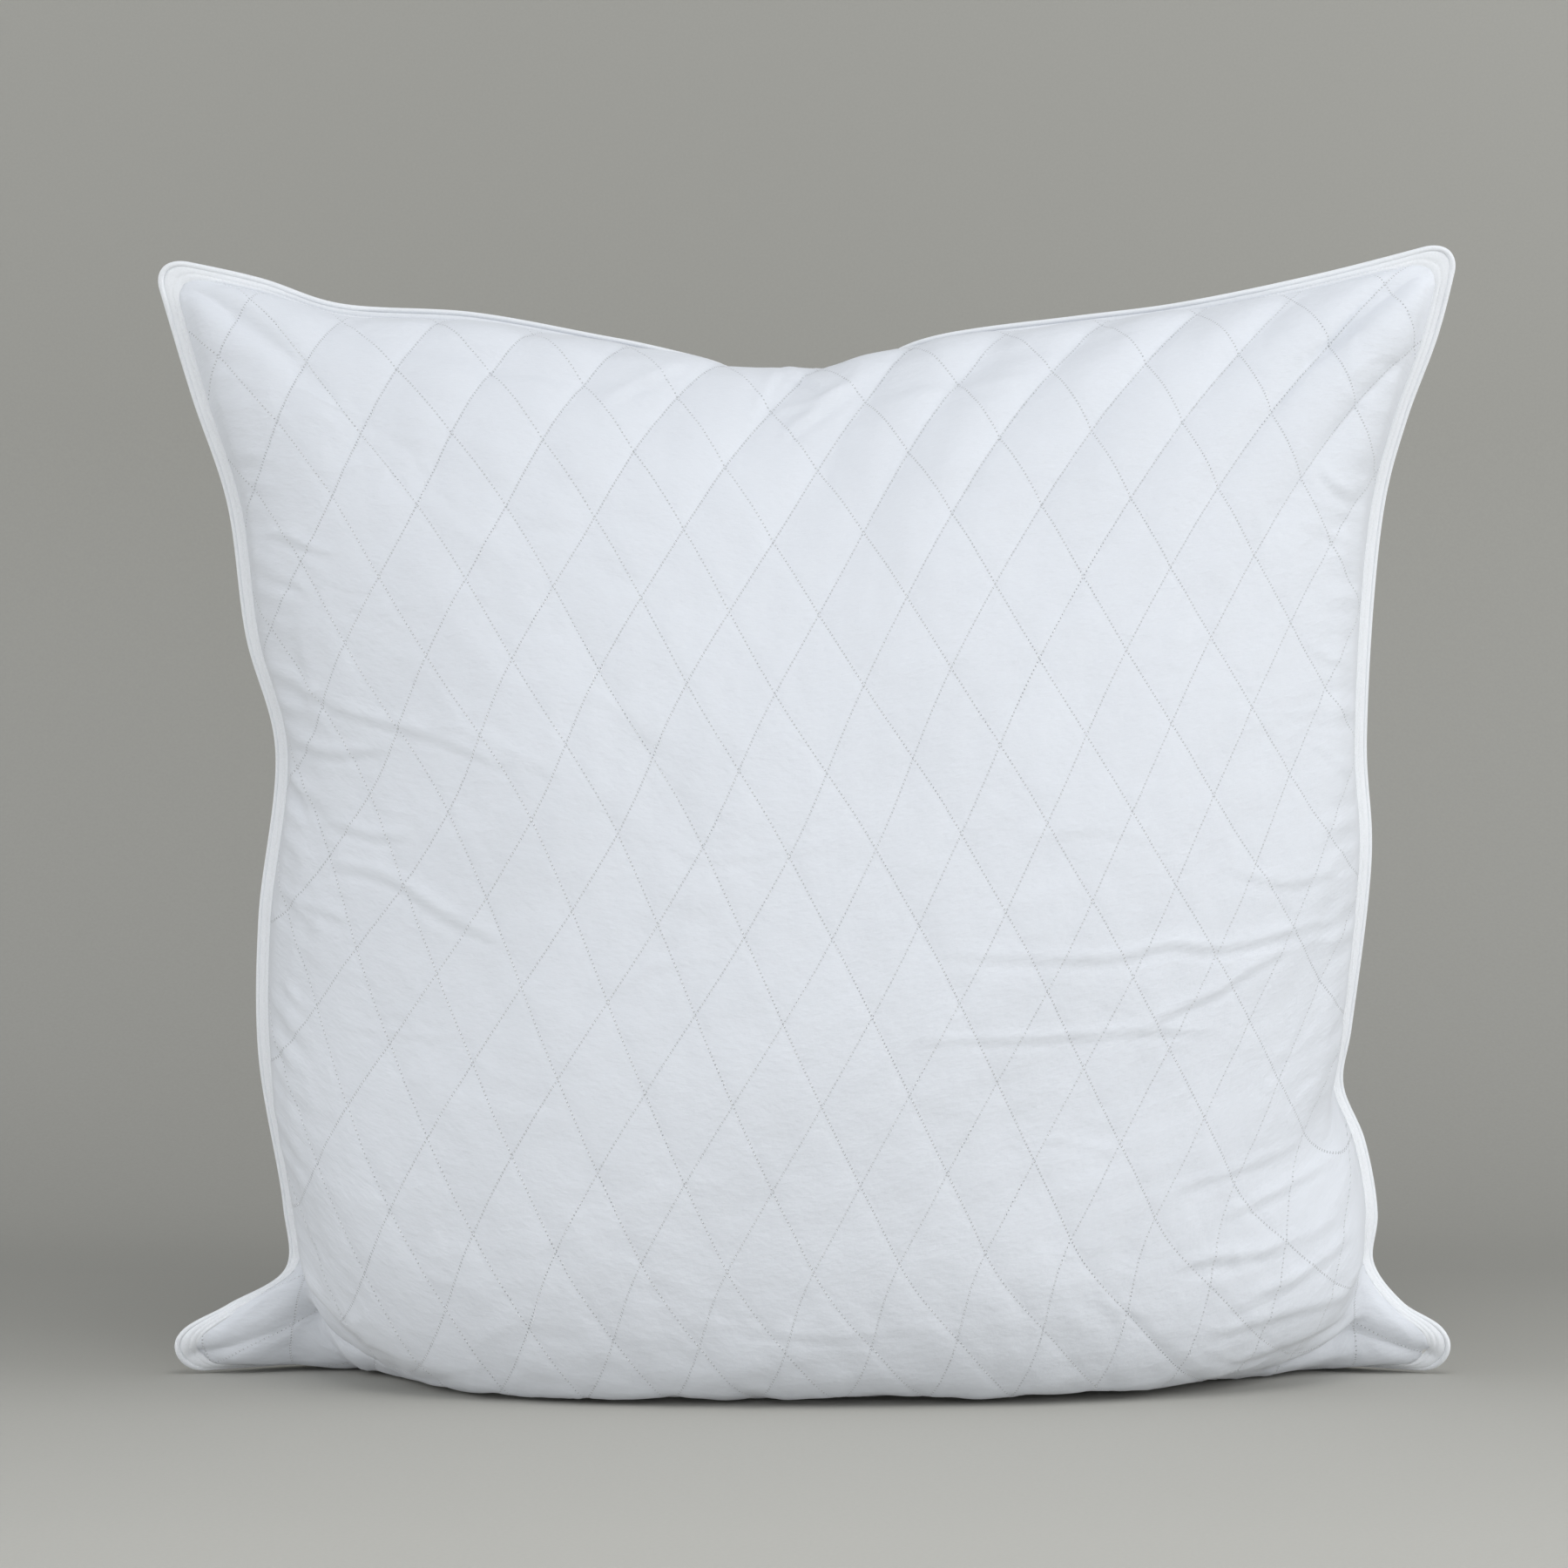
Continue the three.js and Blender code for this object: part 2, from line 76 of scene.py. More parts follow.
DEEPEST_CREASE = 0.0013    # below the simulated surface, so that no crease reaches the wadding
CREASES_FROM = 0.012       # the creases fade out within this of the stitch line
SEAM_REACH = 0.03          # within this of the stitch line the layers draw together
FLAT_BELOW = 0.004         # the pillow counts as flat where it is no thicker than this,
FULL_ABOVE = 0.034         # and as full where it is thicker than this
FULL_DEPTH_FROM = 0.014    # where the pillow is thinner than this, its layers share what there is
THIN_ROOM = 0.0020         # added to the outside where the pillow is thin, to cover the layers there
FOLD_WIDTH = 0.72          # the folds' drawn width, as a share of the listed one

PIPING_RADIUS = 0.0019
CORD_RADIUS = 0.0014

# Each soft layer's two faces, in millimetres: how deep they lie, how far from the middle surface they are at
# the seam, how high above the floor, and how far out from the zip's middle plane they may be beside it.
FACES = {
    "cover_out": (0, 1.15, 0.4, 1.0),
    "cover_in": (2.3, 0.75, 1.3, 0.45),
    "wadding_out": (2.8, 0.65, 1.6, -2.7),
    "wadding_in": (5.4, 0.5, 4.0, -4.4),
    "lining_out": (5.9, 0.42, 4.3, -4.7),
    "lining_in": (6.4, 0.3, 4.8, -5.2),
    "case_out": (1.5, 0.5, 5.6, -5.5),
    "case_in": (2.0, 0.3, 6.1, -6.0),
    "fill": (3.0, 0.1, 6.8, -6.6),
}
FOOT = FACES["cover_out"][2] * MM

# ---- lines in space


def line(points):
    """A centripetal Catmull-Rom line through points in millimetres: samples, and how far along each is."""
    points = np.array(points, float) * MM
    points = np.vstack([2 * points[0] - points[1], points, 2 * points[-1] - points[-2]])
    knots = np.concatenate([[0], np.cumsum(np.linalg.norm(np.diff(points, axis=0), axis=1) ** 0.5)])
    samples = []
    for i in range(1, len(points) - 2):
        p0, p1, p2, p3 = points[i - 1 : i + 3]
        t0, t1, t2, t3 = knots[i - 1 : i + 3]
        t = np.linspace(t1, t2, 40, endpoint=False)[:, None]
        a1 = (t1 - t) / (t1 - t0) * p0 + (t - t0) / (t1 - t0) * p1
        a2 = (t2 - t) / (t2 - t1) * p1 + (t - t1) / (t2 - t1) * p2
        a3 = (t3 - t) / (t3 - t2) * p2 + (t - t2) / (t3 - t2) * p3
        b1 = (t2 - t) / (t2 - t0) * a1 + (t - t0) / (t2 - t0) * a2
        b2 = (t3 - t) / (t3 - t1) * a2 + (t - t1) / (t3 - t1) * a3
        samples.append((t2 - t) / (t2 - t1) * b1 + (t - t1) / (t2 - t1) * b2)
    samples = np.vstack([*samples, points[-2:-1]])
    length = np.concatenate([[0], np.cumsum(np.linalg.norm(np.diff(samples, axis=0), axis=1))])
    return samples, length / length[-1]


def profile(points):
    return line([(0, y, z) for y, z in points])


def at(curve, t):
    """Points of a line where t runs from -1 to 1."""
    samples, share = curve
    where = np.clip((np.asarray(t) + 1) / 2, 0, 1)
    return np.stack([np.interp(where, share, samples[:, k]) for k in range(3)], -1)


# The seam's four sides, as they would run to sharp corners, and the side profiles up the pillow's middle.
# They are the frame's own, before it is centred.
BOTTOM_SEAM = line([
    (-378, 4, 3.6), (-345, 20, 3.6), (-300, 38, 3.6), (-150, 38, 3.6),
    (150, 38, 3.6), (300, 38, 3.6), (350, 20, 3.6), (383, 4, 3.6),
])
TOP_SEAM = line([
    (-389, 4, 664), (-326, 8, 651), (-282, 12, 637), (-200, 18, 632), (-114, 22, 617), (-13, 25, 600),
    (88, 22, 621), (160, 19, 630), (218, 16, 637), (300, 10, 653), (386, 4, 674),
])
LEFT_SEAM = line([
    (-378, 4, 3.6), (-372, 5, 24), (-345, 8, 40), (-310, 14, 62), (-312, 18, 100), (-327, 20, 190),
    (-327, 20, 270), (-317, 20, 374), (-334, 18, 439), (-345, 14, 520), (-365, 9, 582), (-389, 4, 664),
])
RIGHT_SEAM = line([
    (383, 4, 3.6), (376, 5, 26), (352, 8, 42), (335, 13, 66), (338, 17, 95), (331, 20, 138), (318, 20, 172),
    (323, 20, 206), (335, 20, 310), (332, 20, 377), (342, 17, 517), (355, 13, 569), (373, 8, 620),
    (386, 4, 674),
])
MIDDLE_PROFILE = profile([
    (38, 3.6), (29, 3.9), (21, 7), (16, 20), (13, 60), (13, 200), (16, 400), (25, 600),
])
FRONT_PROFILE = profile([
    (38, 3.6), (20, -8), (0, -18), (-50, -20), (-90, -12), (-120, 35), (-133, 110),
    (-135, 230), (-122, 350), (-92, 460), (-45, 560), (-5, 600), (14, 604), (25, 600),
])
BACK_PROFILE = profile([
    (38, 3.6), (47, 21), (80, 48), (120, 88), (145, 150), (150, 240),
    (138, 350), (112, 450), (75, 535), (40, 588), (25, 600),
])


def flat_point(a, b):
    """Where a grid point lies on the flat cut once its corners are rounded."""
    a, b = np.broadcast_arrays(np.asarray(a, float), np.asarray(b, float))
    ring = np.maximum(np.abs(a), np.abs(b))
    safe = np.where(ring > 0, ring, 1)
    wide = np.abs(a) >= np.abs(b)
    edge = np.sign(np.where(wide, a, b))
    other = np.where(wide, b, a) / safe
    past = (np.abs(other) - (1 - CORNER_SPAN)) / CORNER_SPAN
    turn = np.clip(past, 0, 1) * math.pi / 4
    centre = 1 - CORNER_ROUND
    straight = centre / (1 - CORNER_SPAN)
    out = np.where(past > 0, edge * (centre + CORNER_ROUND * np.cos(turn)), edge)
    side = np.where(past > 0, np.sign(other) * (centre + CORNER_ROUND * np.sin(turn)), other * straight)
    s = np.where(wide, out, side) * ring
    t = np.where(wide, side, out) * ring
    return s, t


def patch(s, t):
    """The patch that the seam's four sides span."""
    across, up = ((s + 1) / 2)[..., None], ((t + 1) / 2)[..., None]
    sides = (1 - across) * at(LEFT_SEAM, t) + across * at(RIGHT_SEAM, t)
    ends = (1 - up) * at(BOTTOM_SEAM, s) + up * at(TOP_SEAM, s)
    corners = (1 - across) * (1 - up) * at(LEFT_SEAM, -1) + across * (1 - up) * at(RIGHT_SEAM, -1)
    corners = corners + (1 - across) * up * at(LEFT_SEAM, 1) + across * up * at(RIGHT_SEAM, 1)
    return sides + ends - corners


def inwards(a, b):
    """a and b near the seam, and s and t further in, where the corners no longer count."""
    s, t = flat_point(a, b)
    near = smooth(np.maximum(np.abs(a), np.abs(b)), 0.72, FLANGE_EDGE)
    return s + (a - s) * near, t + (b - t) * near


def middle(a, b):
    """The middle surface, from seam to seam."""
    a, b = np.broadcast_arrays(np.asarray(a, float), np.asarray(b, float))
    point = patch(*flat_point(a, b))
    a, b = inwards(a, b)
    toe = at(MIDDLE_PROFILE, b) - patch(np.zeros_like(b), b)
    toe[..., 0] = 0
    return point + toe * (1 - np.abs(np.clip(a, -1, 1)) ** 12)[..., None] + SHIFT


# How far out the filling reaches towards each side seam, from the foot of the panel upwards. Below that the
# bottom corners are flat ears.
FILLED_UP = (-1.0, -0.86, -0.75, -0.65)
FILLED_LEFT = (0.77, 0.84, 0.94, 1.0)
FILLED_RIGHT = (0.85, 0.92, 0.99, 1.0)


def bulge(side, a, b):
    """How far one side of the pillow stands away from the middle surface."""
    a, b = inwards(a, b)
    b1 = np.clip(b / FLANGE_EDGE, -1, 1)
    reach = np.where(a < 0, np.interp(b1, FILLED_UP, FILLED_LEFT), np.interp(b1, FILLED_UP, FILLED_RIGHT))
    a1 = np.clip(a / FLANGE_EDGE / reach, -1, 1)
    high = smooth(b1, -1, -0.2)
    squareness = 4.5 + (2.2 - 4.5) * high
    width = np.maximum(1 - np.abs(a1) ** squareness, 0) ** 0.55
    curve = FRONT_PROFILE if side == "front" else BACK_PROFILE
    return (at(curve, b1) - at(MIDDLE_PROFILE, b1)) * width[..., None]


def smooth(x, low, high):
    x = np.clip((x - low) / (high - low), 0, 1)
    return x * x * (3 - 2 * x)


def frame_shift():
    """How far the frame's centring moved the seam, from the piping cord's box."""
    edge = np.linspace(-1, 1, 400)
    one = np.ones_like(edge)
    sides = ((edge, -one), (edge, one), (-one, edge), (one, edge))
    loop = np.vstack([patch(*flat_point(*side)) for side in sides])
    low, high = (np.array(corner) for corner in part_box("piping_cord"))
    return (low + high) / 2 - (loop.min(0) + loop.max(0)) / 2


SHIFT = frame_shift()

# The folds that the filled cotton has settled in: the line each follows across the panel as x and z in
# millimetres, its width, and its height. The ridge runs on the left of its line and the crease on the right.
FRONT_FOLDS = [
    ([(74, 254), (172, 252), (204, 259), (232, 256), (286, 267), (316, 269)], 6, 2.2),
    ([(60, 207), (133, 208), (187, 211), (232, 209)], 5, 2.0),
    ([(190, 213), (206, 222), (232, 232), (252, 244), (283, 257)], 6, 2.0),
    ([(108, 157), (177, 142)], 5, 1.0),
    ([(206, 122), (248, 131), (296, 146)], 6, 1.6),
    ([(236, 104), (262, 113), (288, 123), (320, 136)], 6, 2.4),
    ([(205, 76), (228, 80), (252, 81), (282, 87), (316, 98)], 7, 2.6),
    ([(252, 57), (274, 62), (296, 73), (322, 87)], 7, 2.8),
    ([(226, 35), (250, 40), (276, 45), (320, 52)], 7, 2.4),
    ([(244, 17), (264, 22), (285, 29), (322, 38)], 6, 2.0),
    ([(262, 8), (280, 14), (300, 20)], 5, 1.6),
    ([(-16, 594), (0, 586), (14, 575)], 6, 2.6),
    ([(-20, 566), (8, 570), (27, 583)], 5, 2.2),
    ([(-14, 548), (14, 569), (44, 594)], 7, 2.8),
    ([(-30, 560), (-22, 578), (-12, 596)], 6, 2.0),
    ([(-120, 566), (-96, 581), (-62, 598)], 7, 2.2),
    ([(-316, 497), (-292, 488), (-268, 478)], 5, 1.8),
    ([(-318, 470), (-300, 466), (-284, 458)], 5, 1.4),
    ([(-296, 404), (-257, 388), (-214, 376), (-158, 355)], 7, 1.8),
    ([(-306, 366), (-294, 340), (-280, 318)], 6, 2.4),
    ([(-316, 384), (-296, 372), (-270, 366), (-236, 370)], 6, 1.8),
    ([(-276, 303), (-240, 296), (-203, 274), (-172, 260)], 7, 2.2),
    ([(-278, 328), (-243, 319), (-218, 321)], 6, 1.8),
    ([(-218, 384), (-188, 376), (-160, 362), (-138, 352)], 7, 1.0),
    ([(-310, 246), (-302, 229), (-288, 216)], 5, 1.6),
    ([(-268, 212), (-228, 207), (-165, 208)], 5, 0.8),
    ([(-304, 288), (-280, 276), (-250, 268)], 6, 1.2),
    ([(-115, 319), (-82, 318), (-66, 308), (-23, 310), (36, 319)], 5, 0.5),
    ([(-111, 232), (-82, 248), (-40, 252)], 5, 0.5),
    ([(-61, 48), (12, 41), (86, 48)], 6, 0.7),
    ([(120, 320), (165, 322), (200, 314)], 6, 0.8),
    ([(240, 300), (270, 292), (316, 300)], 6, 1.6),
    ([(296, 532), (306, 522), (322, 514)], 6, 2.0),
    ([(290, 500), (306, 492), (326, 488)], 6, 1.2),
    ([(286, 430), (304, 420), (322, 418)], 6, 1.2),
    ([(290, 372), (306, 360), (320, 350)], 6, 1.2),
    ([(-296, 66), (-292, 40), (-280, 20), (-262, 0)], 9, 5.0),
    ([(-330, 40), (-318, 26), (-300, 12)], 6, 1.8),
]
BACK_FOLDS = [
    ([(-300, 330), (-250, 318), (-190, 326)], 8, 2.2),
    ([(-310, 250), (-262, 236), (-214, 240)], 8, 2.0),
    ([(310, 300), (262, 286), (200, 296), (150, 290)], 8, 2.4),
    ([(316, 404), (280, 392), (236, 398)], 7, 1.8),
    ([(-306, 120), (-260, 104), (-206, 110)], 8, 2.4),
    ([(304, 110), (258, 96), (200, 100)], 8, 2.4),
    ([(-20, 590), (-4, 560), (0, 528)], 8, 2.4),
    ([(30, 592), (18, 566), (24, 540)], 7, 1.8),
    ([(-326, 470), (-290, 450), (-256, 446)], 7, 1.8),
    ([(80, 210), (150, 204), (236, 212)], 7, 1.4),
]

# ---- meshes


def new_object(name, data):
    obj = bpy.data.objects.new(name, data)
    bpy.context.scene.collection.objects.link(obj)
    return obj


def make_object(name, points, faces, flat=None):
    """A mesh object from points and arrays with a face's points in each row. flat is the points' UV map."""
    mesh = bpy.data.meshes.new(name)
    mesh.vertices.add(len(points))
    mesh.vertices.foreach_set("co", np.asarray(points, np.float32).ravel())
    corners = np.concatenate([f.ravel() for f in faces]).astype(np.int32)
    sizes = np.concatenate([np.full(len(f), f.shape[1]) for f in faces])
    mesh.loops.add(len(corners))
    mesh.loops.foreach_set("vertex_index", corners)
    mesh.polygons.add(len(sizes))
    starts = np.concatenate([[0], np.cumsum(sizes)[:-1]]).astype(np.int32)
    mesh.polygons.foreach_set("loop_start", starts)
    mesh.polygons.foreach_set("use_smooth", np.ones(len(sizes), bool))
    mesh.update(calc_edges=True)
    if flat is not None:
        layer = mesh.uv_layers.new(name="flat")
        layer.data.foreach_set("uv", np.asarray(flat, np.float32)[corners].ravel())
    return new_object(name, mesh)


def discard(obj):
    mesh = obj.data
    bpy.data.objects.remove(obj)
    bpy.data.meshes.remove(mesh)


def grid_quads(rows, columns, first=0):
    """Faces of a grid of points, row by row."""
    i, j = np.meshgrid(np.arange(rows - 1), np.arange(columns - 1), indexing="ij")
    corner = first + i * columns + j
    return np.stack([corner, corner + columns, corner + columns + 1, corner + 1], -1)


def refine(grid, factor):
    """A smooth cubic spline through a grid's rows and columns, with each cell cut in factor by factor."""
    for axis in (0, 1):
        grid = np.moveaxis(grid, axis, 0)
        padded = np.concatenate([[2 * grid[0] - grid[1]], grid, [2 * grid[-1] - grid[-2]]])
        where = np.arange((len(grid) - 1) * factor + 1) / factor
        cell = np.minimum(where.astype(int), len(grid) - 2)
        f = (where - cell).reshape(-1, *[1] * (grid.ndim - 1))
        weights = ((1 - f) ** 3, 3 * f**3 - 6 * f**2 + 4, -3 * f**3 + 3 * f**2 + 3 * f + 1, f**3)
        grid = sum(w / 6 * padded[cell + k] for k, w in enumerate(weights))
        grid = np.moveaxis(grid, 0, axis)
    return grid


def grid_normals(grid, outward):
    """Unit normals of a grid of points. outward is 1 or -1, to face out of the pillow."""
    normal = np.cross(np.gradient(grid, axis=0), np.gradient(grid, axis=1)) * outward
    return normal / np.maximum(np.linalg.norm(normal, axis=-1, keepdims=True), 1e-12)


def unit(vectors):
    return vectors / np.linalg.norm(vectors, axis=1, keepdims=True)


def square_to(tangent, vectors):
    """Unit vectors at right angles to a line's unit tangents, as near as can be to the given ones."""
    return unit(vectors - tangent * (vectors * tangent).sum(1, keepdims=True))


def ring_faces(rings, sides, closed):
    """Faces between one ring of points and the next, and between the last and the first if closed."""
    i, k = np.meshgrid(np.arange(rings if closed else rings - 1), np.arange(sides), indexing="ij")
    i1, k1 = (i + 1) % rings, (k + 1) % sides
    return np.stack([i * sides + k, i * sides + k1, i1 * sides + k1, i1 * sides + k], -1).reshape(-1, 4)


def capped_tube(name, points):
    """A closed tube from rings of points."""
    rings, sides = points.shape[:2]
    start = np.arange(sides)[None, ::-1]
    end = start[:, ::-1] + (rings - 1) * sides
    return make_object(name, points.reshape(-1, 3), [ring_faces(rings, sides, False), start, end])


def ring_tube(name, points):
    """A tube carried round a closed loop, from rings of points."""
    return make_object(name, points.reshape(-1, 3), [ring_faces(*points.shape[:2], True)])


# ---- the zip's place

ZIP_HALF = 0.276           # half the tape's length
ZIP_CHAIN_HALF = 0.270
ZIP_OPENING = 0.0047       # from the chain's middle line to the edge of the opening
ZIP_TAPE = (0.0028, 0.0095)                   # its near and far edge
ZIP_PITCH = 0.0015
ZIP_STITCHES = 0.0068      # the stitch rows, from the chain's middle line
ZIP_STRIP = 0.030          # the back panel is held to its shape this far up from the stitch line
ZIP_CENTRE = np.array([0.003543, 0.031148, 0.016663])
# Along, up the panel and outwards.
ZIP_AXES = np.array([(-1, 0, 0), (0, 0.5626, 0.82673), (0, 0.82673, -0.5626)])

# ---- the two panels

OUTWARD = {"front": 1, "back": -1}
STATIONS = np.linspace(-1, 1, CELLS + 1)
GRID_A, GRID_B = np.meshgrid(STATIONS, STATIONS, indexing="ij")


def start_grids():
    a, b = GRID_A * FLANGE_EDGE, GRID_B * FLANGE_EDGE
    grids = {}
    for side in OUTWARD:
        grid = middle(a, b) + bulge(side, a, b)
        grid[..., 2] = np.maximum(grid[..., 2], 0.0012)
        grids[side] = grid
    return grids


def flat_cut():
    """The flat cut's coordinates at each grid point, in metres."""
    s, t = flat_point(GRID_A, GRID_B)
    return np.stack([s, t], -1) * PANEL_HALF


def relax(grids):
    """Both panels after the cloth simulation: sewn along the stitch line, filled, and stood on the floor."""
    size = CELLS + 1
    inner = (slice(1, -1), slice(1, -1))
    points = np.vstack([grids["front"].reshape(-1, 3), grids["back"][inner].reshape(-1, 3)])
    back_index = np.arange(size * size).reshape(size, size)
    back_index[inner] = size * size + np.arange((size - 2) ** 2).reshape(size - 2, size - 2)
    front_faces = grid_quads(size, size).reshape(-1, 4)
    back_faces = back_index.ravel()[front_faces][:, ::-1]
    cut = np.zeros((size, size, 3))
    cut[..., :2] = flat_cut()
    rest = np.vstack([cut.reshape(-1, 3), cut[inner].reshape(-1, 3)])
    obj = make_object("cloth_panels", points, [front_faces, back_faces])
    obj.shape_key_add(name="stood")
    flat_key = obj.shape_key_add(name="flat")
    flat_key.data.foreach_set("co", rest.astype(np.float32).ravel())
    held = np.ones((size, size), bool)
    held[inner] = False
    pinned = list(map(int, np.nonzero(held.ravel())[0]))
    pinned += list(map(int, back_index[zip_strip_mask()]))
    obj.vertex_groups.new(name="held").add(pinned, 1, "REPLACE")
    corners = np.array([(-1, -1, 0), (1, -1, 0), (1, 1, 0), (-1, 1, 0)], float)
    floor = make_object("cloth_floor", corners, [np.array([[0, 1, 2, 3]])])
    floor.modifiers.new("stop", "COLLISION")
    floor.collision.thickness_outer = 0.001
    floor.collision.cloth_friction = 20
    cloth_settings(obj.modifiers.new("cloth", "CLOTH"), flat_key)
    scene = bpy.context.scene
    for number in range(1, CLOTH_FRAMES + 1):
        scene.frame_set(number)
    done = obj.evaluated_get(bpy.context.evaluated_depsgraph_get()).to_mesh()
    settled = np.empty(len(points) * 3, np.float32)
    done.vertices.foreach_get("co", settled)
    moved = settled.reshape(-1, 3).astype(float) - points
    distance = np.maximum(np.linalg.norm(moved, axis=1, keepdims=True), 1e-9)
    settled = points + moved / distance * MOST_MOVE * np.tanh(distance / MOST_MOVE)
    scene.frame_set(1)
    discard(obj)
    discard(floor)
    return {"front": settled[: size * size].reshape(size, size, 3), "back": settled[back_index]}


def cloth_settings(cloth, flat_key):
    """Firm quilted cotton under the light pressure of its filling."""
    cloth.point_cache.frame_start = 1
    cloth.point_cache.frame_end = CLOTH_FRAMES
    settings = cloth.settings
    settings.quality = 7
    settings.mass = 0.15
    settings.air_damping = 8
    settings.tension_stiffness = settings.compression_stiffness = 30
    settings.shear_stiffness = 8
    settings.bending_stiffness = 1.2
    settings.tension_damping = settings.compression_damping = 12
    settings.shear_damping = 8
    settings.bending_damping = 2
    settings.use_pressure = True
    settings.uniform_pressure_force = 3.0
    settings.vertex_group_mass = "held"
    settings.pin_stiffness = 1
    settings.rest_shape_key = flat_key
    settings.effector_weights.gravity = 0.15
    cloth.collision_settings.distance_min = 0.001
    cloth.collision_settings.use_self_collision = False


def zip_strip_mask():
    """Grid points of the back panel that lie along the zip and are held flat."""
    flat = flat_cut()
    near = flat[..., 1] < -PANEL_HALF + ZIP_STRIP
    return near & (np.abs(flat[..., 0]) < ZIP_HALF * 1.06)


def edge_weight(flat, reach):
    """1 at the stitch line round a panel, and 0 from reach inwards."""
    corner = PANEL_HALF * (1 - CORNER_ROUND)
    past = np.maximum(np.abs(flat) - corner, 0)
    inside = np.where(past.min(-1) > 0, PANEL_HALF - corner - np.linalg.norm(past, axis=-1),
                      PANEL_HALF - np.abs(flat).max(-1))
    return 1 - smooth(inside, 0, reach)


def zip_weight(points, reach=0.014):
    """1 beside the zip and 0 from reach away from it."""
    local = np.abs((points - ZIP_CENTRE) @ ZIP_AXES.T)
    past = np.maximum(local - (ZIP_HALF + 0.002, 0.010, 0.012), 0)
    return 1 - smooth(np.linalg.norm(past, axis=-1), 0, reach)


def flatten_at_zip(surface, level, exactly):
    """The back panel's layers lie flat on each other beside the zip, and leave room for the slider."""
    local = (surface - ZIP_CENTRE) @ ZIP_AXES.T
    target = np.full_like(local[..., 2], level) if exactly else np.minimum(local[..., 2], level)
    local[..., 2] += (target - local[..., 2]) * zip_weight(surface)
    return local @ ZIP_AXES + ZIP_CENTRE


def quilt_phase(flat):
    """Which line of each quilting direction a point is past, with its share of the way to the next one."""
    s = (flat[..., 0] - QUILT_SHIFT[0]) / QUILT_WIDTH
    t = (flat[..., 1] - QUILT_SHIFT[1]) / QUILT_HEIGHT
    return s + t, s - t


def quilt_relief(flat):
    """Height of the quilted surface: shallow puffed diamonds, with a narrow groove along each line.

    Where the panel turns over the top, the slack lies in long puffs between the rising lines.
    """
    falling, rising = quilt_phase(flat)
    high = smooth(flat[..., 1], 0.16, 0.30) * (1 - 0.4 * smooth(flat[..., 1], 0.35, PANEL_HALF))
    right = 0.6 + 0.4 * smooth(flat[..., 0], -0.30, 0.25)
    low = smooth(-flat[..., 1], 0.05, 0.25)
    relief = 0
    for phase, puff, groove, skew in (
        (falling, 0.0002 + 0.0001 * low, 0.00035 + 0.0001 * low, 1.0),
        (rising, 0.00025 + 0.0042 * high * right, 0.0003 + 0.0007 * high * right, 1.35),
    ):
        share = phase - np.floor(phase)
        crown = np.sin(math.pi * share**skew) ** 0.8
        distance = np.minimum(share, 1 - share) * QUILT_SPACING
        relief = relief + puff * (crown - 0.15) - groove * np.exp(-((distance / 0.0022) ** 2))
    return relief


def ripples(flat, wavelength, count, seed, stretch=(1.0, 1.0)):
    """Seeded irregular ripples, about -1 to 1, as a sum of waves in random directions."""
    rng = np.random.default_rng(seed)
    total = np.zeros(flat.shape[:-1])
    turns, phases = rng.uniform(0, math.tau, count), rng.uniform(0, math.tau, count)
    for turn, phase, size in zip(turns, phases, rng.uniform(0.7, 1.4, count)):
        wave = math.tau / (wavelength * size)
        where = flat[..., 0] * stretch[0] * math.cos(turn) + flat[..., 1] * stretch[1] * math.sin(turn)
        total = total + np.sin(where * wave + phase)
    return total / math.sqrt(count)


def seam_puckers(flat):
    """Small gathers at right angles to the two side seams, strongest halfway up the left one."""
    side = PANEL_HALF - np.abs(flat[..., 0])
    near = np.exp(-((side - 0.012) / 0.022) ** 2)
    strong = 0.35 + np.exp(-(flat[..., 1] / 0.17) ** 2) * np.where(flat[..., 0] < 0, 1.0, 0.35)
    gathers = ripples(flat, 0.018, 5, seed=11, stretch=(0.25, 1.0))
    return 0.0013 * near * strong * gathers


def small_wrinkles(flat):
    """Fine creases that run mostly across the panel, in patches that grow towards its sides and foot."""
    crease = 1 - np.abs(ripples(flat, 0.021, 5, seed=31, stretch=(0.4, 1.0)))
    patch_size = np.clip(0.5 + 0.5 * ripples(flat, 0.12, 6, seed=37), 0, 1)
    outer = 0.25 + 0.75 * smooth(np.abs(flat[..., 0]), 0.12, 0.34) + 0.3 * smooth(-flat[..., 1], 0.1, 0.3)
    return 0.0007 * np.clip(crease, 0, 1) ** 4 * patch_size * outer


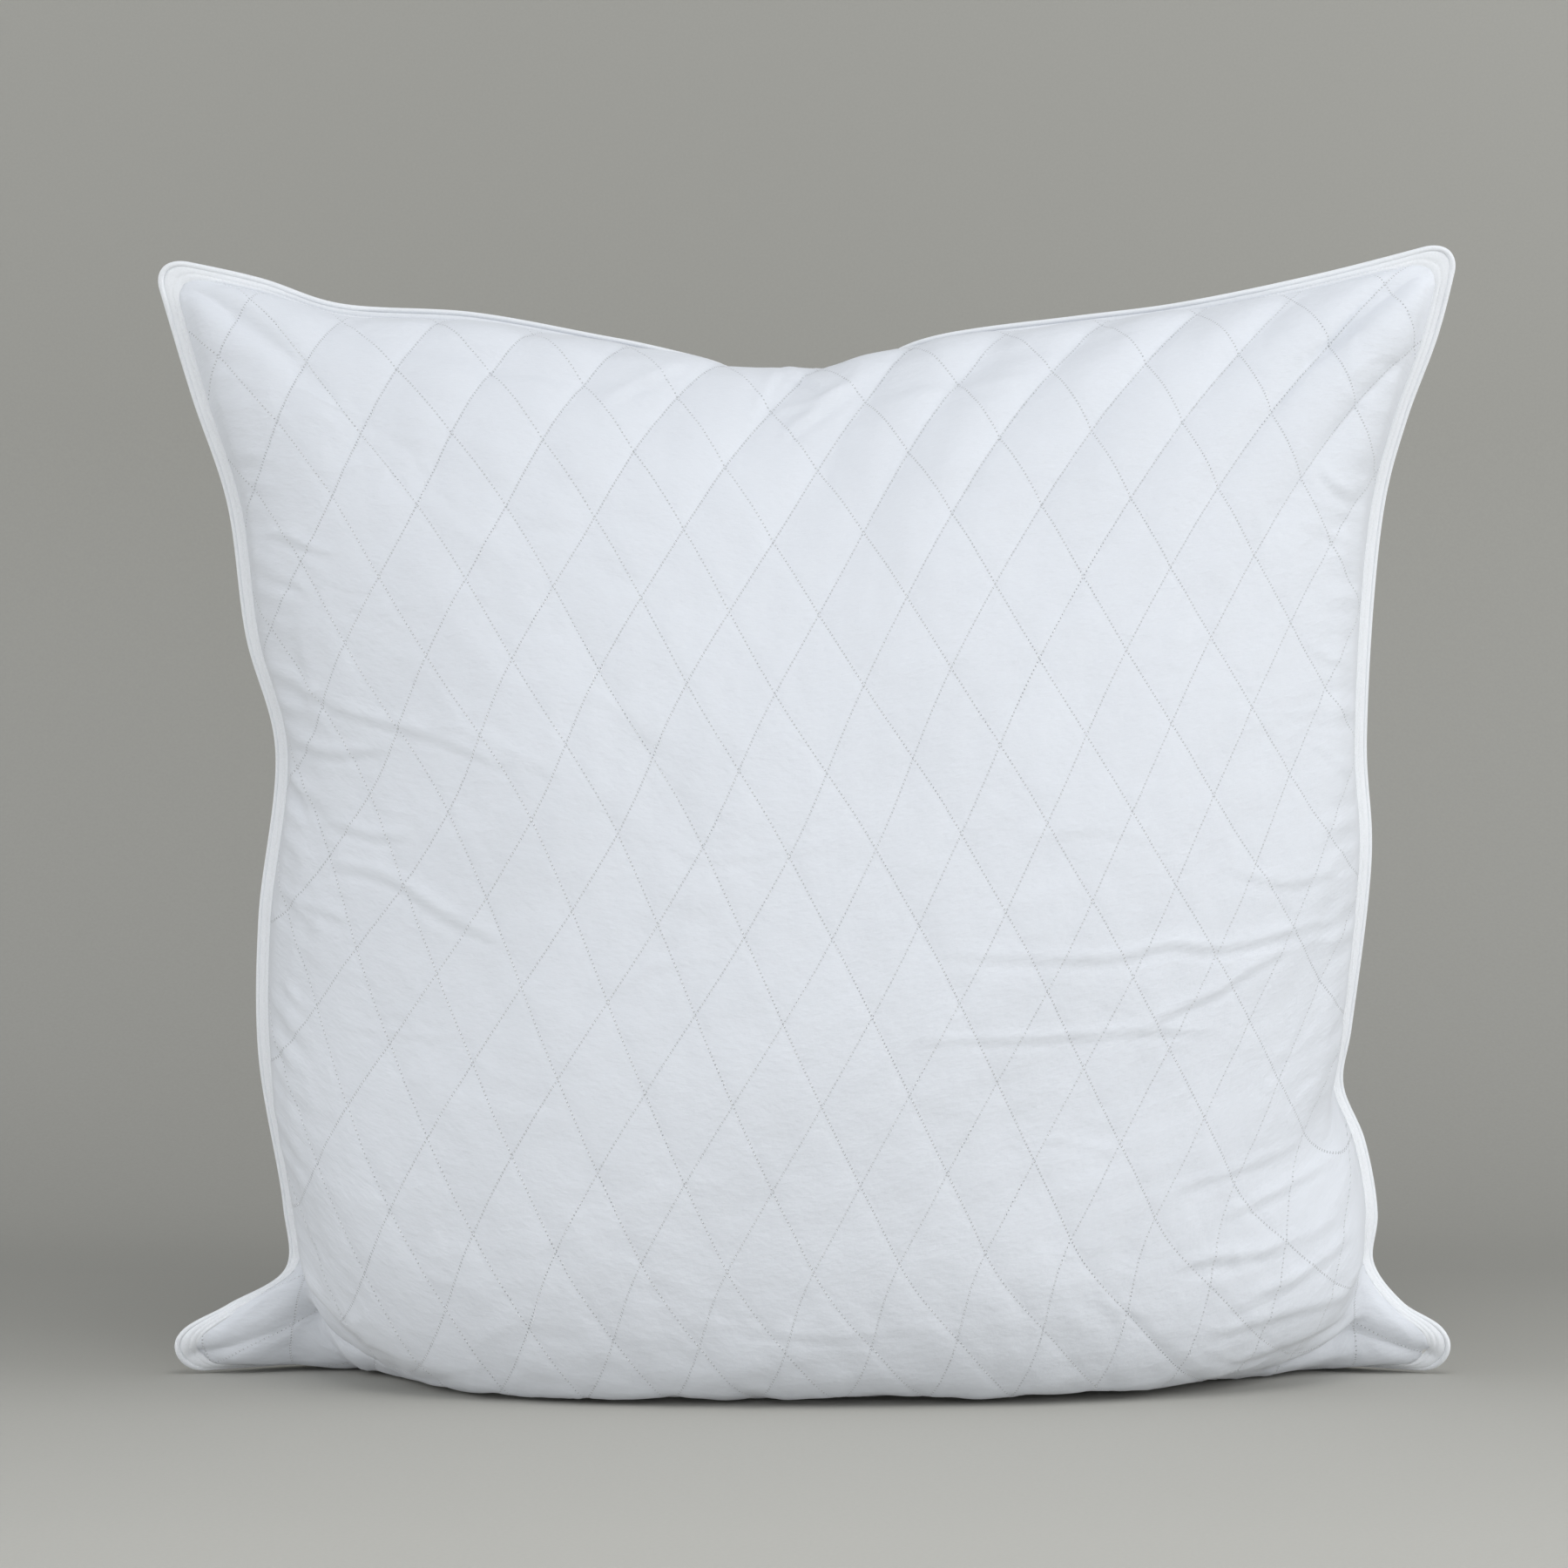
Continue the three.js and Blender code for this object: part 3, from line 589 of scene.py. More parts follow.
def fold_relief(side, points):
    """Height that the listed folds add, from each point's place across and up the panel."""
    place = points[..., [0, 2]]
    total = np.zeros(place.shape[:-1])
    for path, width, height in FRONT_FOLDS if side == "front" else BACK_FOLDS:
        samples = line([(x, 0, z) for x, z in path])[0][::12][:, [0, 2]]
        width, height = width * MM * FOLD_WIDTH, height * MM
        near = np.all((place > samples.min(0) - 3 * width) & (place < samples.max(0) + 3 * width), axis=-1)
        start, step = samples[:-1], np.diff(samples, axis=0)
        offset = place[near][:, None] - start
        share = np.clip((offset * step).sum(-1) / (step * step).sum(-1), 0, 1)
        gap = offset - share[..., None] * step
        distance = np.linalg.norm(gap, axis=-1)
        nearest = distance.argmin(1)
        rows = np.arange(len(nearest))
        turned = step[nearest, 0] * gap[rows, nearest, 1] - step[nearest, 1] * gap[rows, nearest, 0]
        signed = distance[rows, nearest] * np.sign(turned)
        along = (nearest + share[rows, nearest]) / len(step)
        taper = np.sqrt(np.clip(4 * along * (1 - along), 0, 1))
        taper = taper * np.exp(-np.maximum(np.abs(signed) / width - 1, 0))
        ridge = np.exp(-((signed / width - 0.8) ** 2))
        crease = np.exp(-((signed / width + 0.35) / 0.55) ** 2)
        total[near] += height * taper * (0.6 * ridge - 0.55 * crease)
    return total


def thickness():
    return np.linalg.norm(grids["front"] - grids["back"], axis=-1)


def thin_weight():
    """1 where the panels meet, at the seam and in the bottom corners, and 0 where the pillow is full."""
    return np.maximum(edge_weight(flat_cut(), SEAM_REACH), 1 - smooth(thickness(), FLAT_BELOW, FULL_ABOVE))


def shell(side, face, edge=FLANGE_EDGE, fullness=1.0):
    """One face of a soft layer, on the simulated grid."""
    depth, lift, floor, zip_level = (value * MM for value in FACES[face])
    weight = thin_weight()[..., None]
    room = np.minimum(thickness() / FULL_DEPTH_FROM, 1)[..., None]
    halfway = (grids["front"] + grids["back"]) / 2
    base = middle(GRID_A * edge, GRID_B * edge)
    drift = halfway - middle(GRID_A * FLANGE_EDGE, GRID_B * FLANGE_EDGE)
    surface = base + drift + (grids[side] - halfway) * fullness ** (1 + 6 * weight)
    surface = surface - grid_normals(surface, OUTWARD[side]) * depth * room
    surface = surface + grid_normals(base, OUTWARD[side]) * lift * weight**3
    if side == "back":
        surface = flatten_at_zip(surface, zip_level, face.startswith("cover"))
    surface[..., 2] = np.maximum(surface[..., 2], FOOT + (floor - FOOT) * (1 - weight[..., 0]))
    return surface


def cover(side):
    """One panel's cotton, quilted outside and plainer inside, and its outside's points and normals."""
    fine = refine(shell(side, "cover_out"), FINE)
    flat = refine(np.dstack([flat_cut(), np.zeros_like(GRID_A)]), FINE)[..., :2]
    normal = grid_normals(fine, OUTWARD[side])
    relief = quilt_relief(flat) + seam_puckers(flat)
    relief = relief + 0.0002 * ripples(flat, 0.035, 7, seed=3) + 0.0009 * ripples(flat, 0.15, 7, seed=5)
    relief = relief + small_wrinkles(flat)
    away_from_seam = 1 - edge_weight(flat, CREASES_FROM)
    relief = (relief + fold_relief(side, fine)) * away_from_seam
    thin = np.clip(refine(thin_weight(), FINE), 0, 1)
    relief = np.maximum(relief * (1 - 0.6 * thin), -DEEPEST_CREASE * (1 - thin))
    relief = relief + THIN_ROOM * thin * away_from_seam
    if side == "back":
        relief = relief * (1 - zip_weight(fine, 0.03))
    outside = fine + normal * relief[..., None]
    outside[..., 2] = np.maximum(outside[..., 2], FOOT)
    obj = closed_layer(f"{side}_cover_quilted", side, outside, shell(side, "cover_in"), FINE, flat)
    if side == "back":
        cut_zip_opening(obj)
    return obj, outside, normal


def cut_zip_opening(obj):
    """Open the back panel between the two edges that are sewn to the zip."""
    half = np.array([ZIP_HALF - 0.002, ZIP_OPENING, 0.006])
    corners = np.array([(x, y, z) for x in (-1, 1) for y in (-1, 1) for z in (-1, 1)]) * half
    faces = np.array([(0, 1, 3, 2), (4, 6, 7, 5), (0, 4, 5, 1), (2, 3, 7, 6), (0, 2, 6, 4), (1, 5, 7, 3)])
    cutter = make_object("zip_cutter", corners @ ZIP_AXES + ZIP_CENTRE, [faces])
    opening = obj.modifiers.new("opening", "BOOLEAN")
    opening.operation = "DIFFERENCE"
    opening.solver = "EXACT"
    opening.object = cutter
    shape = bpy.data.meshes.new_from_object(obj.evaluated_get(bpy.context.evaluated_depsgraph_get()))
    obj.modifiers.clear()
    uncut = obj.data
    obj.data = shape
    bpy.data.meshes.remove(uncut)
    discard(cutter)


def closed_layer(name, side, outside, inside, fine=1, flat=None):
    """A layer's two faces, joined round the edge. The outside may be finer than the inside."""
    size, fine_size = len(inside), len(outside)
    first = fine_size * fine_size
    outer_faces = grid_quads(fine_size, fine_size).reshape(-1, 4)
    inner_faces = grid_quads(size, size, first).reshape(-1, 4)[:, ::-1]
    loop = edge_loop(size)
    walls, corners = [], []
    for here, there in zip(loop, np.roll(loop, -1, axis=0)):
        steps = [here * fine + (there - here) * k for k in range(fine + 1)]
        outer = [i * fine_size + j for i, j in steps]
        inner = [first + here[0] * size + here[1], first + there[0] * size + there[1]]
        walls += [(outer[k + 1], outer[k], inner[0]) for k in range(fine)]
        corners.append((outer[fine], inner[0], inner[1]))
    faces = [outer_faces, inner_faces, np.array(walls + corners)]
    if OUTWARD[side] < 0:
        faces = [each[:, ::-1] for each in faces]
    points = np.vstack([outside.reshape(-1, 3), inside.reshape(-1, 3)])
    flat = flat_cut() if flat is None else flat
    coordinates = np.vstack([flat.reshape(-1, 2), flat_cut().reshape(-1, 2)])
    return make_object(name, points, faces, coordinates)


def edge_loop(size):
    """A grid's border points in order, once round."""
    last = size - 1
    steps = range(last)
    loop = [(i, 0) for i in steps] + [(last, i) for i in steps]
    loop += [(last - i, last) for i in steps] + [(0, last - i) for i in steps]
    return np.array(loop)


# ---- edge: flange and piping


def seam_frames(count=900):
    """Points once round the piping and the stitch line inside it, with the outward and front directions."""
    turn = np.linspace(0, 8, count, endpoint=False)
    leg, along = (turn // 2).astype(int), turn % 2 - 1
    one = np.ones_like(along)
    a = np.select([leg == 0, leg == 1, leg == 2], [along, one, -along], -one)
    b = np.select([leg == 0, leg == 1, leg == 2], [-one, along, one], -along)
    inside = middle(a * FLANGE_EDGE, b * FLANGE_EDGE)
    at_piping = lean_back(inside, middle(a, b))
    tangent = unit(np.roll(at_piping, -1, 0) - np.roll(at_piping, 1, 0))
    outward = square_to(tangent, at_piping - inside)
    return at_piping, inside, outward, np.cross(tangent, outward)


def lean_back(inside, at_piping):
    """At the middle of the top the front panel puffs over the seam, and the piping leans back behind it."""
    offset = at_piping - inside
    width = np.linalg.norm(offset, axis=1, keepdims=True)
    weight = 0.85 * np.exp(-(((inside[:, :1] - 0.003) / 0.055) ** 4)) * (inside[:, 2:] > 0.3)
    offset = offset * (1 - weight) + np.array([0, 1, -0.2]) * width * weight
    return inside + unit(offset) * width


def round_cord(name, centres, outward, normal, radius, sides):
    """A round section carried round the seam."""
    turn = (np.arange(sides) * 2 * math.pi / sides)[::-1, None]
    reach, height = radius * np.cos(turn), radius * np.sin(turn)
    return ring_tube(name, centres[:, None] + outward[:, None] * reach + normal[:, None] * height)


# The seam allowance beside the piping, stitched twice: how far out each point is, as a share of the way from
# the stitch line to the piping, and how high in millimetres.
ALLOWANCE = [
    (-0.32, 0.85), (-0.18, 1.2), (-0.06, 1.15), (0.0, 0.95), (0.06, 1.15), (0.18, 1.35), (0.30, 1.25),
    (0.36, 1.0), (0.42, 1.25), (0.54, 1.35), (0.66, 1.3), (0.76, 1.2), (0.88, 1.0),
]
STITCH_ROWS = [(0.0, 0.95), (0.36, 1.0)]


def seam_allowance(centres, inside, normal):
    outline = ALLOWANCE + [(share, -height) for share, height in reversed(ALLOWANCE)]
    outline = np.array(outline[::-1])
    share, height = outline[:, :1], outline[:, 1:] * MM
    rings = inside[:, None] + (centres - inside)[:, None] * share + normal[:, None] * height
    return ring_tube("edge_flange", rings)


def edge_pieces():
    centres, inside, outward, normal = seam_frames()
    flange = seam_allowance(centres, inside, normal)
    piping = round_cord("piping_bias", centres, outward, normal, PIPING_RADIUS, 16)
    cord = round_cord("piping_twist", centres, outward, normal, CORD_RADIUS, 8)
    return flange, piping, cord


# ---- thread


def grid_place(flat):
    """Where a point of the flat cut lies on a panel's grid, as a and b."""
    s, t = np.abs(flat[..., 0] / PANEL_HALF), np.abs(flat[..., 1] / PANEL_HALF)
    centre = 1 - CORNER_ROUND
    straight = centre / (1 - CORNER_SPAN)
    long, short = np.maximum(s, t), np.minimum(s, t)
    size = np.maximum(long**2 + short**2, 1e-9)
    root = np.maximum((centre * (s + t)) ** 2 - size * (2 * centre**2 - CORNER_ROUND**2), 0)
    scale = (centre * (s + t) + np.sqrt(root)) / size
    turn = np.arctan2(short * scale - centre, long * scale - centre)
    ring = 1 / np.maximum(scale, 1e-9)
    round_corner = short > centre * long
    other = (1 - CORNER_SPAN + CORNER_SPAN * turn / (math.pi / 4)) * ring
    edge = np.where(round_corner, ring, long)
    other = np.where(round_corner, other, short / straight)
    wide = s >= t
    a = np.where(wide, edge, other) * np.sign(flat[..., 0])
    b = np.where(wide, other, edge) * np.sign(flat[..., 1])
    return a, b


def sample(grid, a, b):
    """Values of a panel's grid at a and b, straight between its points."""
    last = len(grid) - 1
    u, v = np.clip((a + 1) / 2, 0, 1) * last, np.clip((b + 1) / 2, 0, 1) * last
    i, j = np.minimum(u.astype(int), last - 1), np.minimum(v.astype(int), last - 1)
    f, g = (u - i)[:, None], (v - j)[:, None]
    low = grid[i, j] * (1 - f) + grid[i + 1, j] * f
    high = grid[i, j + 1] * (1 - f) + grid[i + 1, j + 1] * f
    return low * (1 - g) + high * g


def stitches(name, starts, ends, normals):
    """Thread between each pair of points: a slim spindle, half sunk in the cloth."""
    centre, reach = (starts + ends) / 2, (ends - starts) / 2
    side = np.cross(reach, normals)
    side *= THREAD_RADIUS / np.maximum(np.linalg.norm(side, axis=1, keepdims=True), 1e-9)
    up = normals * THREAD_RADIUS
    waist = [centre + side, centre + up, centre - side, centre - up]
    points = np.stack([centre - reach, *waist, centre + reach], 1)
    ring = np.array([(0, 2, 1), (0, 3, 2), (0, 4, 3), (0, 1, 4), (5, 1, 2), (5, 2, 3), (5, 3, 4), (5, 4, 1)])
    faces = (np.arange(len(centre))[:, None, None] * 6 + ring).reshape(-1, 3)
    return make_object(name, points.reshape(-1, 3), [faces])


def quilting_thread(side, outside, normal):
    """The stitches along every quilting line of a panel."""
    lengthwise = np.array([QUILT_WIDTH, QUILT_HEIGHT]) / math.hypot(QUILT_WIDTH, QUILT_HEIGHT)
    reach = PANEL_HALF * 1.5
    along = np.arange(-reach, reach, STITCH_PITCH)
    starts, ends = [], []
    for slope in (1, -1):
        direction = lengthwise * (1, slope)
        for number in range(-30, 31):
            through = np.array(QUILT_SHIFT) + (number * QUILT_WIDTH, 0)
            through = through - direction * (through @ direction)
            starts.append(through + direction * (along + (STITCH_PITCH - STITCH_LENGTH) / 2)[:, None])
            ends.append(starts[-1] + direction * STITCH_LENGTH)
    starts, ends = np.vstack(starts), np.vstack(ends)
    limit = PANEL_HALF * 0.992
    kept = (np.abs(starts).max(1) < limit) & (np.abs(ends).max(1) < limit)
    kept &= edge_weight(starts, 0.004) < 0.9
    starts, ends = starts[kept], ends[kept]
    where = [sample(outside, *grid_place(each)) for each in (starts, ends)]
    facing = sample(normal, *grid_place((starts + ends) / 2))
    if side == "back":
        clear = zip_weight((where[0] + where[1]) / 2, 0.004) < 0.5
        where, facing = [each[clear] for each in where], facing[clear]
    lifted = [each + facing * THREAD_RADIUS * 0.3 for each in where]
    return stitches(f"{side}_quilting_thread", *lifted, facing)


def edge_thread():
    """Two rows of stitches on each side of the seam allowance."""
    count = int(2.95 / STITCH_PITCH)
    centres, inside, _, normal = seam_frames(count)
    starts, ends, facing = [], [], []
    for share, height in STITCH_ROWS:
        for front in (1, -1):
            lifted = height * MM + THREAD_RADIUS * 0.4
            place = inside + (centres - inside) * share + normal * front * lifted
            step = (np.roll(place, -1, 0) - place) * STITCH_LENGTH / STITCH_PITCH
            starts.append(place)
            ends.append(place + step)
            facing.append(normal * front)
    return stitches("edge_stitching", np.vstack(starts), np.vstack(ends), np.vstack(facing))


# ---- zip


def in_zip(along, up, out):
    """Points from their places along the chain, up the panel and outwards."""
    return np.stack(np.broadcast_arrays(along, up, out), -1) @ ZIP_AXES + ZIP_CENTRE


def zip_tape(name, side):
    """One tape: a thin woven band with a thicker rib beside the coil and at its far edge."""
    inner, outer = ZIP_TAPE
    half = [
        (inner, 0.15), (inner + 0.0002, 0.3), (inner + 0.0011, 0.3), (inner + 0.0015, 0.2),
        (outer - 0.001, 0.2), (outer - 0.0006, 0.28), (outer, 0.1),
    ]
    outline = [(place, -height) for place, height in half] + half[::-1]
    outline = np.array(outline)[::side]
    stations = np.linspace(-ZIP_HALF, ZIP_HALF, 277)[:, None]
    wave = 0.00005 * np.sin(stations * 310 + side)
    return capped_tube(name, in_zip(stations, side * outline[:, 0], outline[:, 1] * MM + wave))


def zip_coil(name, side):
    """One row of teeth: a nylon monofilament wound in a flattened spiral and sewn along the tape."""
    turns = int(2 * ZIP_CHAIN_HALF / ZIP_PITCH) - 1
    steps, sides, wire = 14, 5, 0.00026
    turn = np.arange(turns * steps + 1) / steps
    along = -ZIP_CHAIN_HALF + ZIP_PITCH * (turn + (0.75 if side > 0 else 0.25))
    angle = math.tau * turn
    up = side * (0.00156 + 0.00088 * np.cos(angle))
    out = 0.00072 * np.sin(angle)
    centres = np.stack([along, up, out], -1)
    tangent = unit(np.gradient(centres, axis=0))
    first = square_to(tangent, np.stack([np.zeros_like(angle), side * np.cos(angle), np.sin(angle)], -1))
    second = np.cross(tangent, first)
    spin = np.arange(sides)[None, :, None] * math.tau / sides
    rings = centres[:, None] + wire * (first[:, None] * np.cos(spin) + second[:, None] * np.sin(spin))
    return capped_tube(name, in_zip(rings[..., 0], rings[..., 1], rings[..., 2]))


def zip_thread():
    """The row of stitches that holds each edge of the opening to its tape."""
    starts = np.arange(-ZIP_HALF + 0.004, ZIP_HALF - 0.006, STITCH_PITCH)
    rows = (ZIP_STITCHES, -ZIP_STITCHES)
    begin, finish = (
        np.vstack([in_zip(starts + step, up, 0.00106) for up in rows]) for step in (0, STITCH_LENGTH)
    )
    return stitches("zip_stitching", begin, finish, np.broadcast_to(ZIP_AXES[2], begin.shape))


# ---- materials


def node(tree, kind, inputs=(), **settings):
    """A shader node with its settings and inputs. An input that is a socket is linked."""
    made = tree.nodes.new(kind)
    for key, value in settings.items():
        setattr(made, key, value)
    for key, value in dict(inputs).items():
        if isinstance(value, bpy.types.NodeSocket):
            tree.links.new(value, made.inputs[key])
        else:
            made.inputs[key].default_value = value
    return made


def calc(tree, operation, *values):
    return node(tree, "ShaderNodeMath", enumerate(values), operation=operation).outputs[0]


def noise(tree, place, scale, detail):
    return node(tree, "ShaderNodeTexNoise", {"Vector": place, "Scale": scale, "Detail": detail}).outputs[0]


def stretched(tree, place, scale):
    return node(tree, "ShaderNodeMapping", {"Vector": place, "Scale": scale}).outputs[0]


def tint(tree, shader, colour, tone):
    tinted = node(tree, "ShaderNodeVectorMath", {0: colour, 3: tone}, operation="SCALE").outputs[0]
    tree.links.new(tinted, shader.inputs["Base Color"])


def bump(tree, shader, height, strength, distance, under=()):
    """Give a shader a bumped normal, on top of another if there is one under it."""
    inputs = {"Height": height, "Strength": strength, "Distance": distance, **dict(under)}
    bumped = node(tree, "ShaderNodeBump", inputs).outputs[0]
    tree.links.new(bumped, shader.inputs["Normal"])
    return bumped


def new_material(name, colour, roughness, sheen=0.0):
    made = bpy.data.materials.new(name)
    made.use_nodes = True
    shader = made.node_tree.nodes["Principled BSDF"]
    shader.inputs["Base Color"].default_value = (*colour, 1)
    shader.inputs["Roughness"].default_value = roughness
    shader.inputs["Sheen Weight"].default_value = sheen
    shader.inputs["Sheen Roughness"].default_value = 0.5
    return made, made.node_tree, shader


def stitch_holes(tree, u, v):
    """1 in each needle hole along the quilting lines, from a point's place on the flat cut."""
    across = calc(tree, "DIVIDE", calc(tree, "SUBTRACT", u, QUILT_SHIFT[0]), QUILT_WIDTH)
    up = calc(tree, "DIVIDE", calc(tree, "SUBTRACT", v, QUILT_SHIFT[1]), QUILT_HEIGHT)
    length = math.hypot(QUILT_WIDTH, QUILT_HEIGHT)
    holes = []
    for join, turn in (("ADD", -1), ("SUBTRACT", 1)):
        gap = calc(tree, "PINGPONG", calc(tree, join, across, up), 0.5)
        on_line = calc(tree, "LESS_THAN", gap, 0.0005 / QUILT_SPACING)
        run = calc(tree, "MULTIPLY", u, QUILT_WIDTH / length / STITCH_PITCH)
        rise = calc(tree, "MULTIPLY", v, turn * QUILT_HEIGHT / length / STITCH_PITCH)
        phase = calc(tree, "PINGPONG", calc(tree, "ADD", run, rise), 0.5)
        holes.append(calc(tree, "MULTIPLY", on_line, calc(tree, "LESS_THAN", phase, 0.14)))
    return calc(tree, "MAXIMUM", *holes)


def cotton(name, colour, quilted=False, weave=0.00045):
    """Fine woven cotton on a panel that keeps its flat coordinates: weave, slubs, cloudiness and crinkle,
    and on the quilted cover painted shade in each needle hole.
    """
    made, tree, shader = new_material(name, colour, 0.82, 0.18)
    flat = node(tree, "ShaderNodeUVMap", uv_map="flat").outputs[0]
    split = node(tree, "ShaderNodeSeparateXYZ", {0: flat})
    u, v = split.outputs[0], split.outputs[1]
    cloud = noise(tree, flat, 14.0, 3.0)
    slub = noise(tree, stretched(tree, flat, (180.0, 1500.0, 1.0)), 1.0, 2.0)
    threads = [calc(tree, "SINE", calc(tree, "MULTIPLY", each, math.tau / weave)) for each in (u, v)]
    cloth = calc(tree, "MULTIPLY", *threads)
    tone = calc(tree, "MULTIPLY_ADD", calc(tree, "ADD", cloud, slub), 0.07, 0.93)
    height = calc(tree, "MULTIPLY_ADD", cloth, 0.25, calc(tree, "MULTIPLY", slub, 1.2))
    if quilted:
        hole = stitch_holes(tree, u, v)
        # painted shade: each needle hole is darkened in the colour, besides its dent in the bump
        tone = calc(tree, "MULTIPLY", tone, calc(tree, "MULTIPLY_ADD", hole, -0.5, 1.0))
        height = calc(tree, "MULTIPLY_ADD", hole, -3.0, height)
    tint(tree, shader, colour, tone)
    crinkle = noise(tree, stretched(tree, flat, (150.0, 260.0, 1.0)), 1.0, 5.0)
    soft = bump(tree, shader, crinkle, 0.55, 0.0009)
    bump(tree, shader, height, 0.35, 0.00012, {"Normal": soft})
    return made


def spun(name, colour, scale, stretch=(1.0, 1.0, 1.0), roughness=0.8, depth=0.0002):
    """Thread, cord, tape or down: fibres as stretched noise in the object's own space."""
    made, tree, shader = new_material(name, colour, roughness, 0.2)
    place = node(tree, "ShaderNodeTexCoord").outputs["Object"]
    fibre = noise(tree, stretched(tree, place, stretch), scale, 4.0)
    tone = calc(tree, "MULTIPLY_ADD", fibre, 0.14, 0.93)
    tint(tree, shader, colour, tone)
    bump(tree, shader, fibre, 0.4, depth)
    return made


def enamel(name, colour):
    """White enamelled metal with the faint mottling and rubbed edges of a small cast part."""
    made, tree, shader = new_material(name, colour, 0.32)
    place = node(tree, "ShaderNodeTexCoord").outputs["Object"]
    mottle = noise(tree, place, 900.0, 3.0)
    worn = noise(tree, place, 260.0, 2.0)
    tone = calc(tree, "MULTIPLY_ADD", mottle, 0.1, 0.93)
    tint(tree, shader, colour, tone)
    tree.links.new(calc(tree, "MULTIPLY_ADD", worn, 0.25, 0.22), shader.inputs["Roughness"])
    shader.inputs["Metallic"].default_value = 0.35
    bump(tree, shader, mottle, 0.2, 0.00005)
    return made


COTTON = cotton("quilted_cotton", (0.665, 0.69, 0.735), quilted=True)
LINING = cotton("plain_cotton", (0.78, 0.79, 0.80), weave=0.0006)
EDGE_COTTON = spun("edge_cotton", (0.75, 0.77, 0.80), 900)
THREAD = spun("sewing_thread", (0.86, 0.87, 0.89), 2500)
CORD = spun("twisted_cord", (0.82, 0.81, 0.77), 1200)
WADDING = spun("soft_wadding", (0.84, 0.84, 0.83), 160, depth=0.002)
DOWN = spun("down_and_feathers", (0.82, 0.80, 0.76), 60, depth=0.006)
ZIP_CLOTH = spun("zip_tape_weave", (0.82, 0.84, 0.86), 700, stretch=(0.4, 3.0, 3.0))
NYLON = spun("zip_nylon", (0.86, 0.87, 0.88), 500, roughness=0.42, depth=0.00003)
ENAMEL = enamel("white_enamel", (0.80, 0.81, 0.83))

# ---- assembly


def add(obj, finish, slot, *nodes):
    """Give a piece its material and its body, and hide the CAD nodes that it stands for. slot is not used.
    """
    obj.data.materials.append(finish)
    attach(obj, BODY)
    if nodes:
        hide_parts(*nodes)
    return obj


def layer(side, name, faces, *shape):
    """A soft layer between two of the listed faces."""
    outside, inside = (shell(side, f"{faces}_{end}", *shape) for end in ("out", "in"))
    return closed_layer(f"{side}_{name}", side, outside, inside)


def dress():
    for side in OUTWARD:
        obj, outside, normal = cover(side)
        add(obj, COTTON, "cover_cotton", f"{side}_cover")
        add(quilting_thread(side, outside, normal), THREAD, "cover_cotton")
        wadding = layer(side, "wadding_batt", "wadding")
        add(wadding, WADDING, "wadding", f"{side}_wadding")
        lining = layer(side, "lining_cloth", "lining")
        add(lining, LINING, "lining", f"{side}_lining")
        case = layer(side, "inner_case_cloth", "case", INNER_PILLOW, INNER_FULLNESS)
        add(case, LINING, "inner_case", f"inner_case_{side}")
    add(down_filling(), DOWN, "fill", "down_feather_fill")
    flange, piping, cord = edge_pieces()
    add(flange, EDGE_COTTON, "cover_cotton")
    add(piping, EDGE_COTTON, "piping_tape", "piping_tape")
    add(cord, CORD, "cord", "piping_cord")
    add(edge_thread(), THREAD, "cover_cotton")
    dress_zip()


def dress_zip():
    for label, side in (("lower", -1), ("upper", 1)):
        add(zip_tape(f"zip_tape_{label}_woven", side), ZIP_CLOTH, "zip_tape", f"zip_tape_{label}")
        add(zip_coil(f"zip_coil_{label}_spiral", side), NYLON, "zip_coil", f"zip_coil_{label}")
    add(zip_thread(), THREAD, "zip_tape")
    for name in ("zip_stop_closed_end", "zip_stop_open_end", "zip_slider", "zip_pull"):
        for slot in bpy.data.objects[name].material_slots:
            slot.material = ENAMEL


def down_filling():
    """The inner pillow's filling: one loose, lumpy body."""
    halves = {side: shell(side, "fill", INNER_PILLOW, INNER_FULLNESS) for side in OUTWARD}
    for side, grid in halves.items():
        lumps = 0.0022 * (ripples(flat_cut(), 0.045, 9, seed=21) - 1.6) * (1 - edge_weight(flat_cut(), 0.04))
        grid += grid_normals(grid, OUTWARD[side]) * lumps[..., None]
        grid[..., 2] = np.maximum(grid[..., 2], FACES["fill"][2] * MM)
    return closed_layer("down_feather_clusters", "front", halves["front"], halves["back"])


grids = start_grids()
grids = relax(grids)
dress()

# ---- camera, stage and light

CAMERA_PLACE = (-0.0135, -2.078, 0.351)
LENS = 80.3
PAPER = (0.355, 0.349, 0.323)
SKY = (0.92, 0.96, 1.0)
SKY_STRENGTH = 0.50
# Each light's name, place, the point it faces, its width and height, and its power.
LIGHTS = [
    ("key", (2.7, -1.0, 1.3), (0.1, 0, 0.3), (1.8, 1.8), 43),
    ("fill", (-2.7, -1.0, 1.1), (0, 0, 0.3), (1.8, 1.8), 25.5),
    ("low", (0.2, -2.4, 0.35), (0, 0, 0.0), (2.6, 0.6), 1.5),
    ("floor_bounce", (0, -1.0, 0.03), (0, -0.1, 0.12), (2.0, 0.05), 2.6),
    ("top", (0.2, -1.3, 2.3), (0, -0.9, 0), (1.4, 1.0), 18),
]

def camera():
    data = bpy.data.cameras.new("camera")
    data.sensor_width = 36
    data.lens = LENS
    obj = new_object("camera", data)
    obj.location = CAMERA_PLACE
    obj.rotation_euler = (math.pi / 2, 0, 0)
    bpy.context.scene.camera = obj


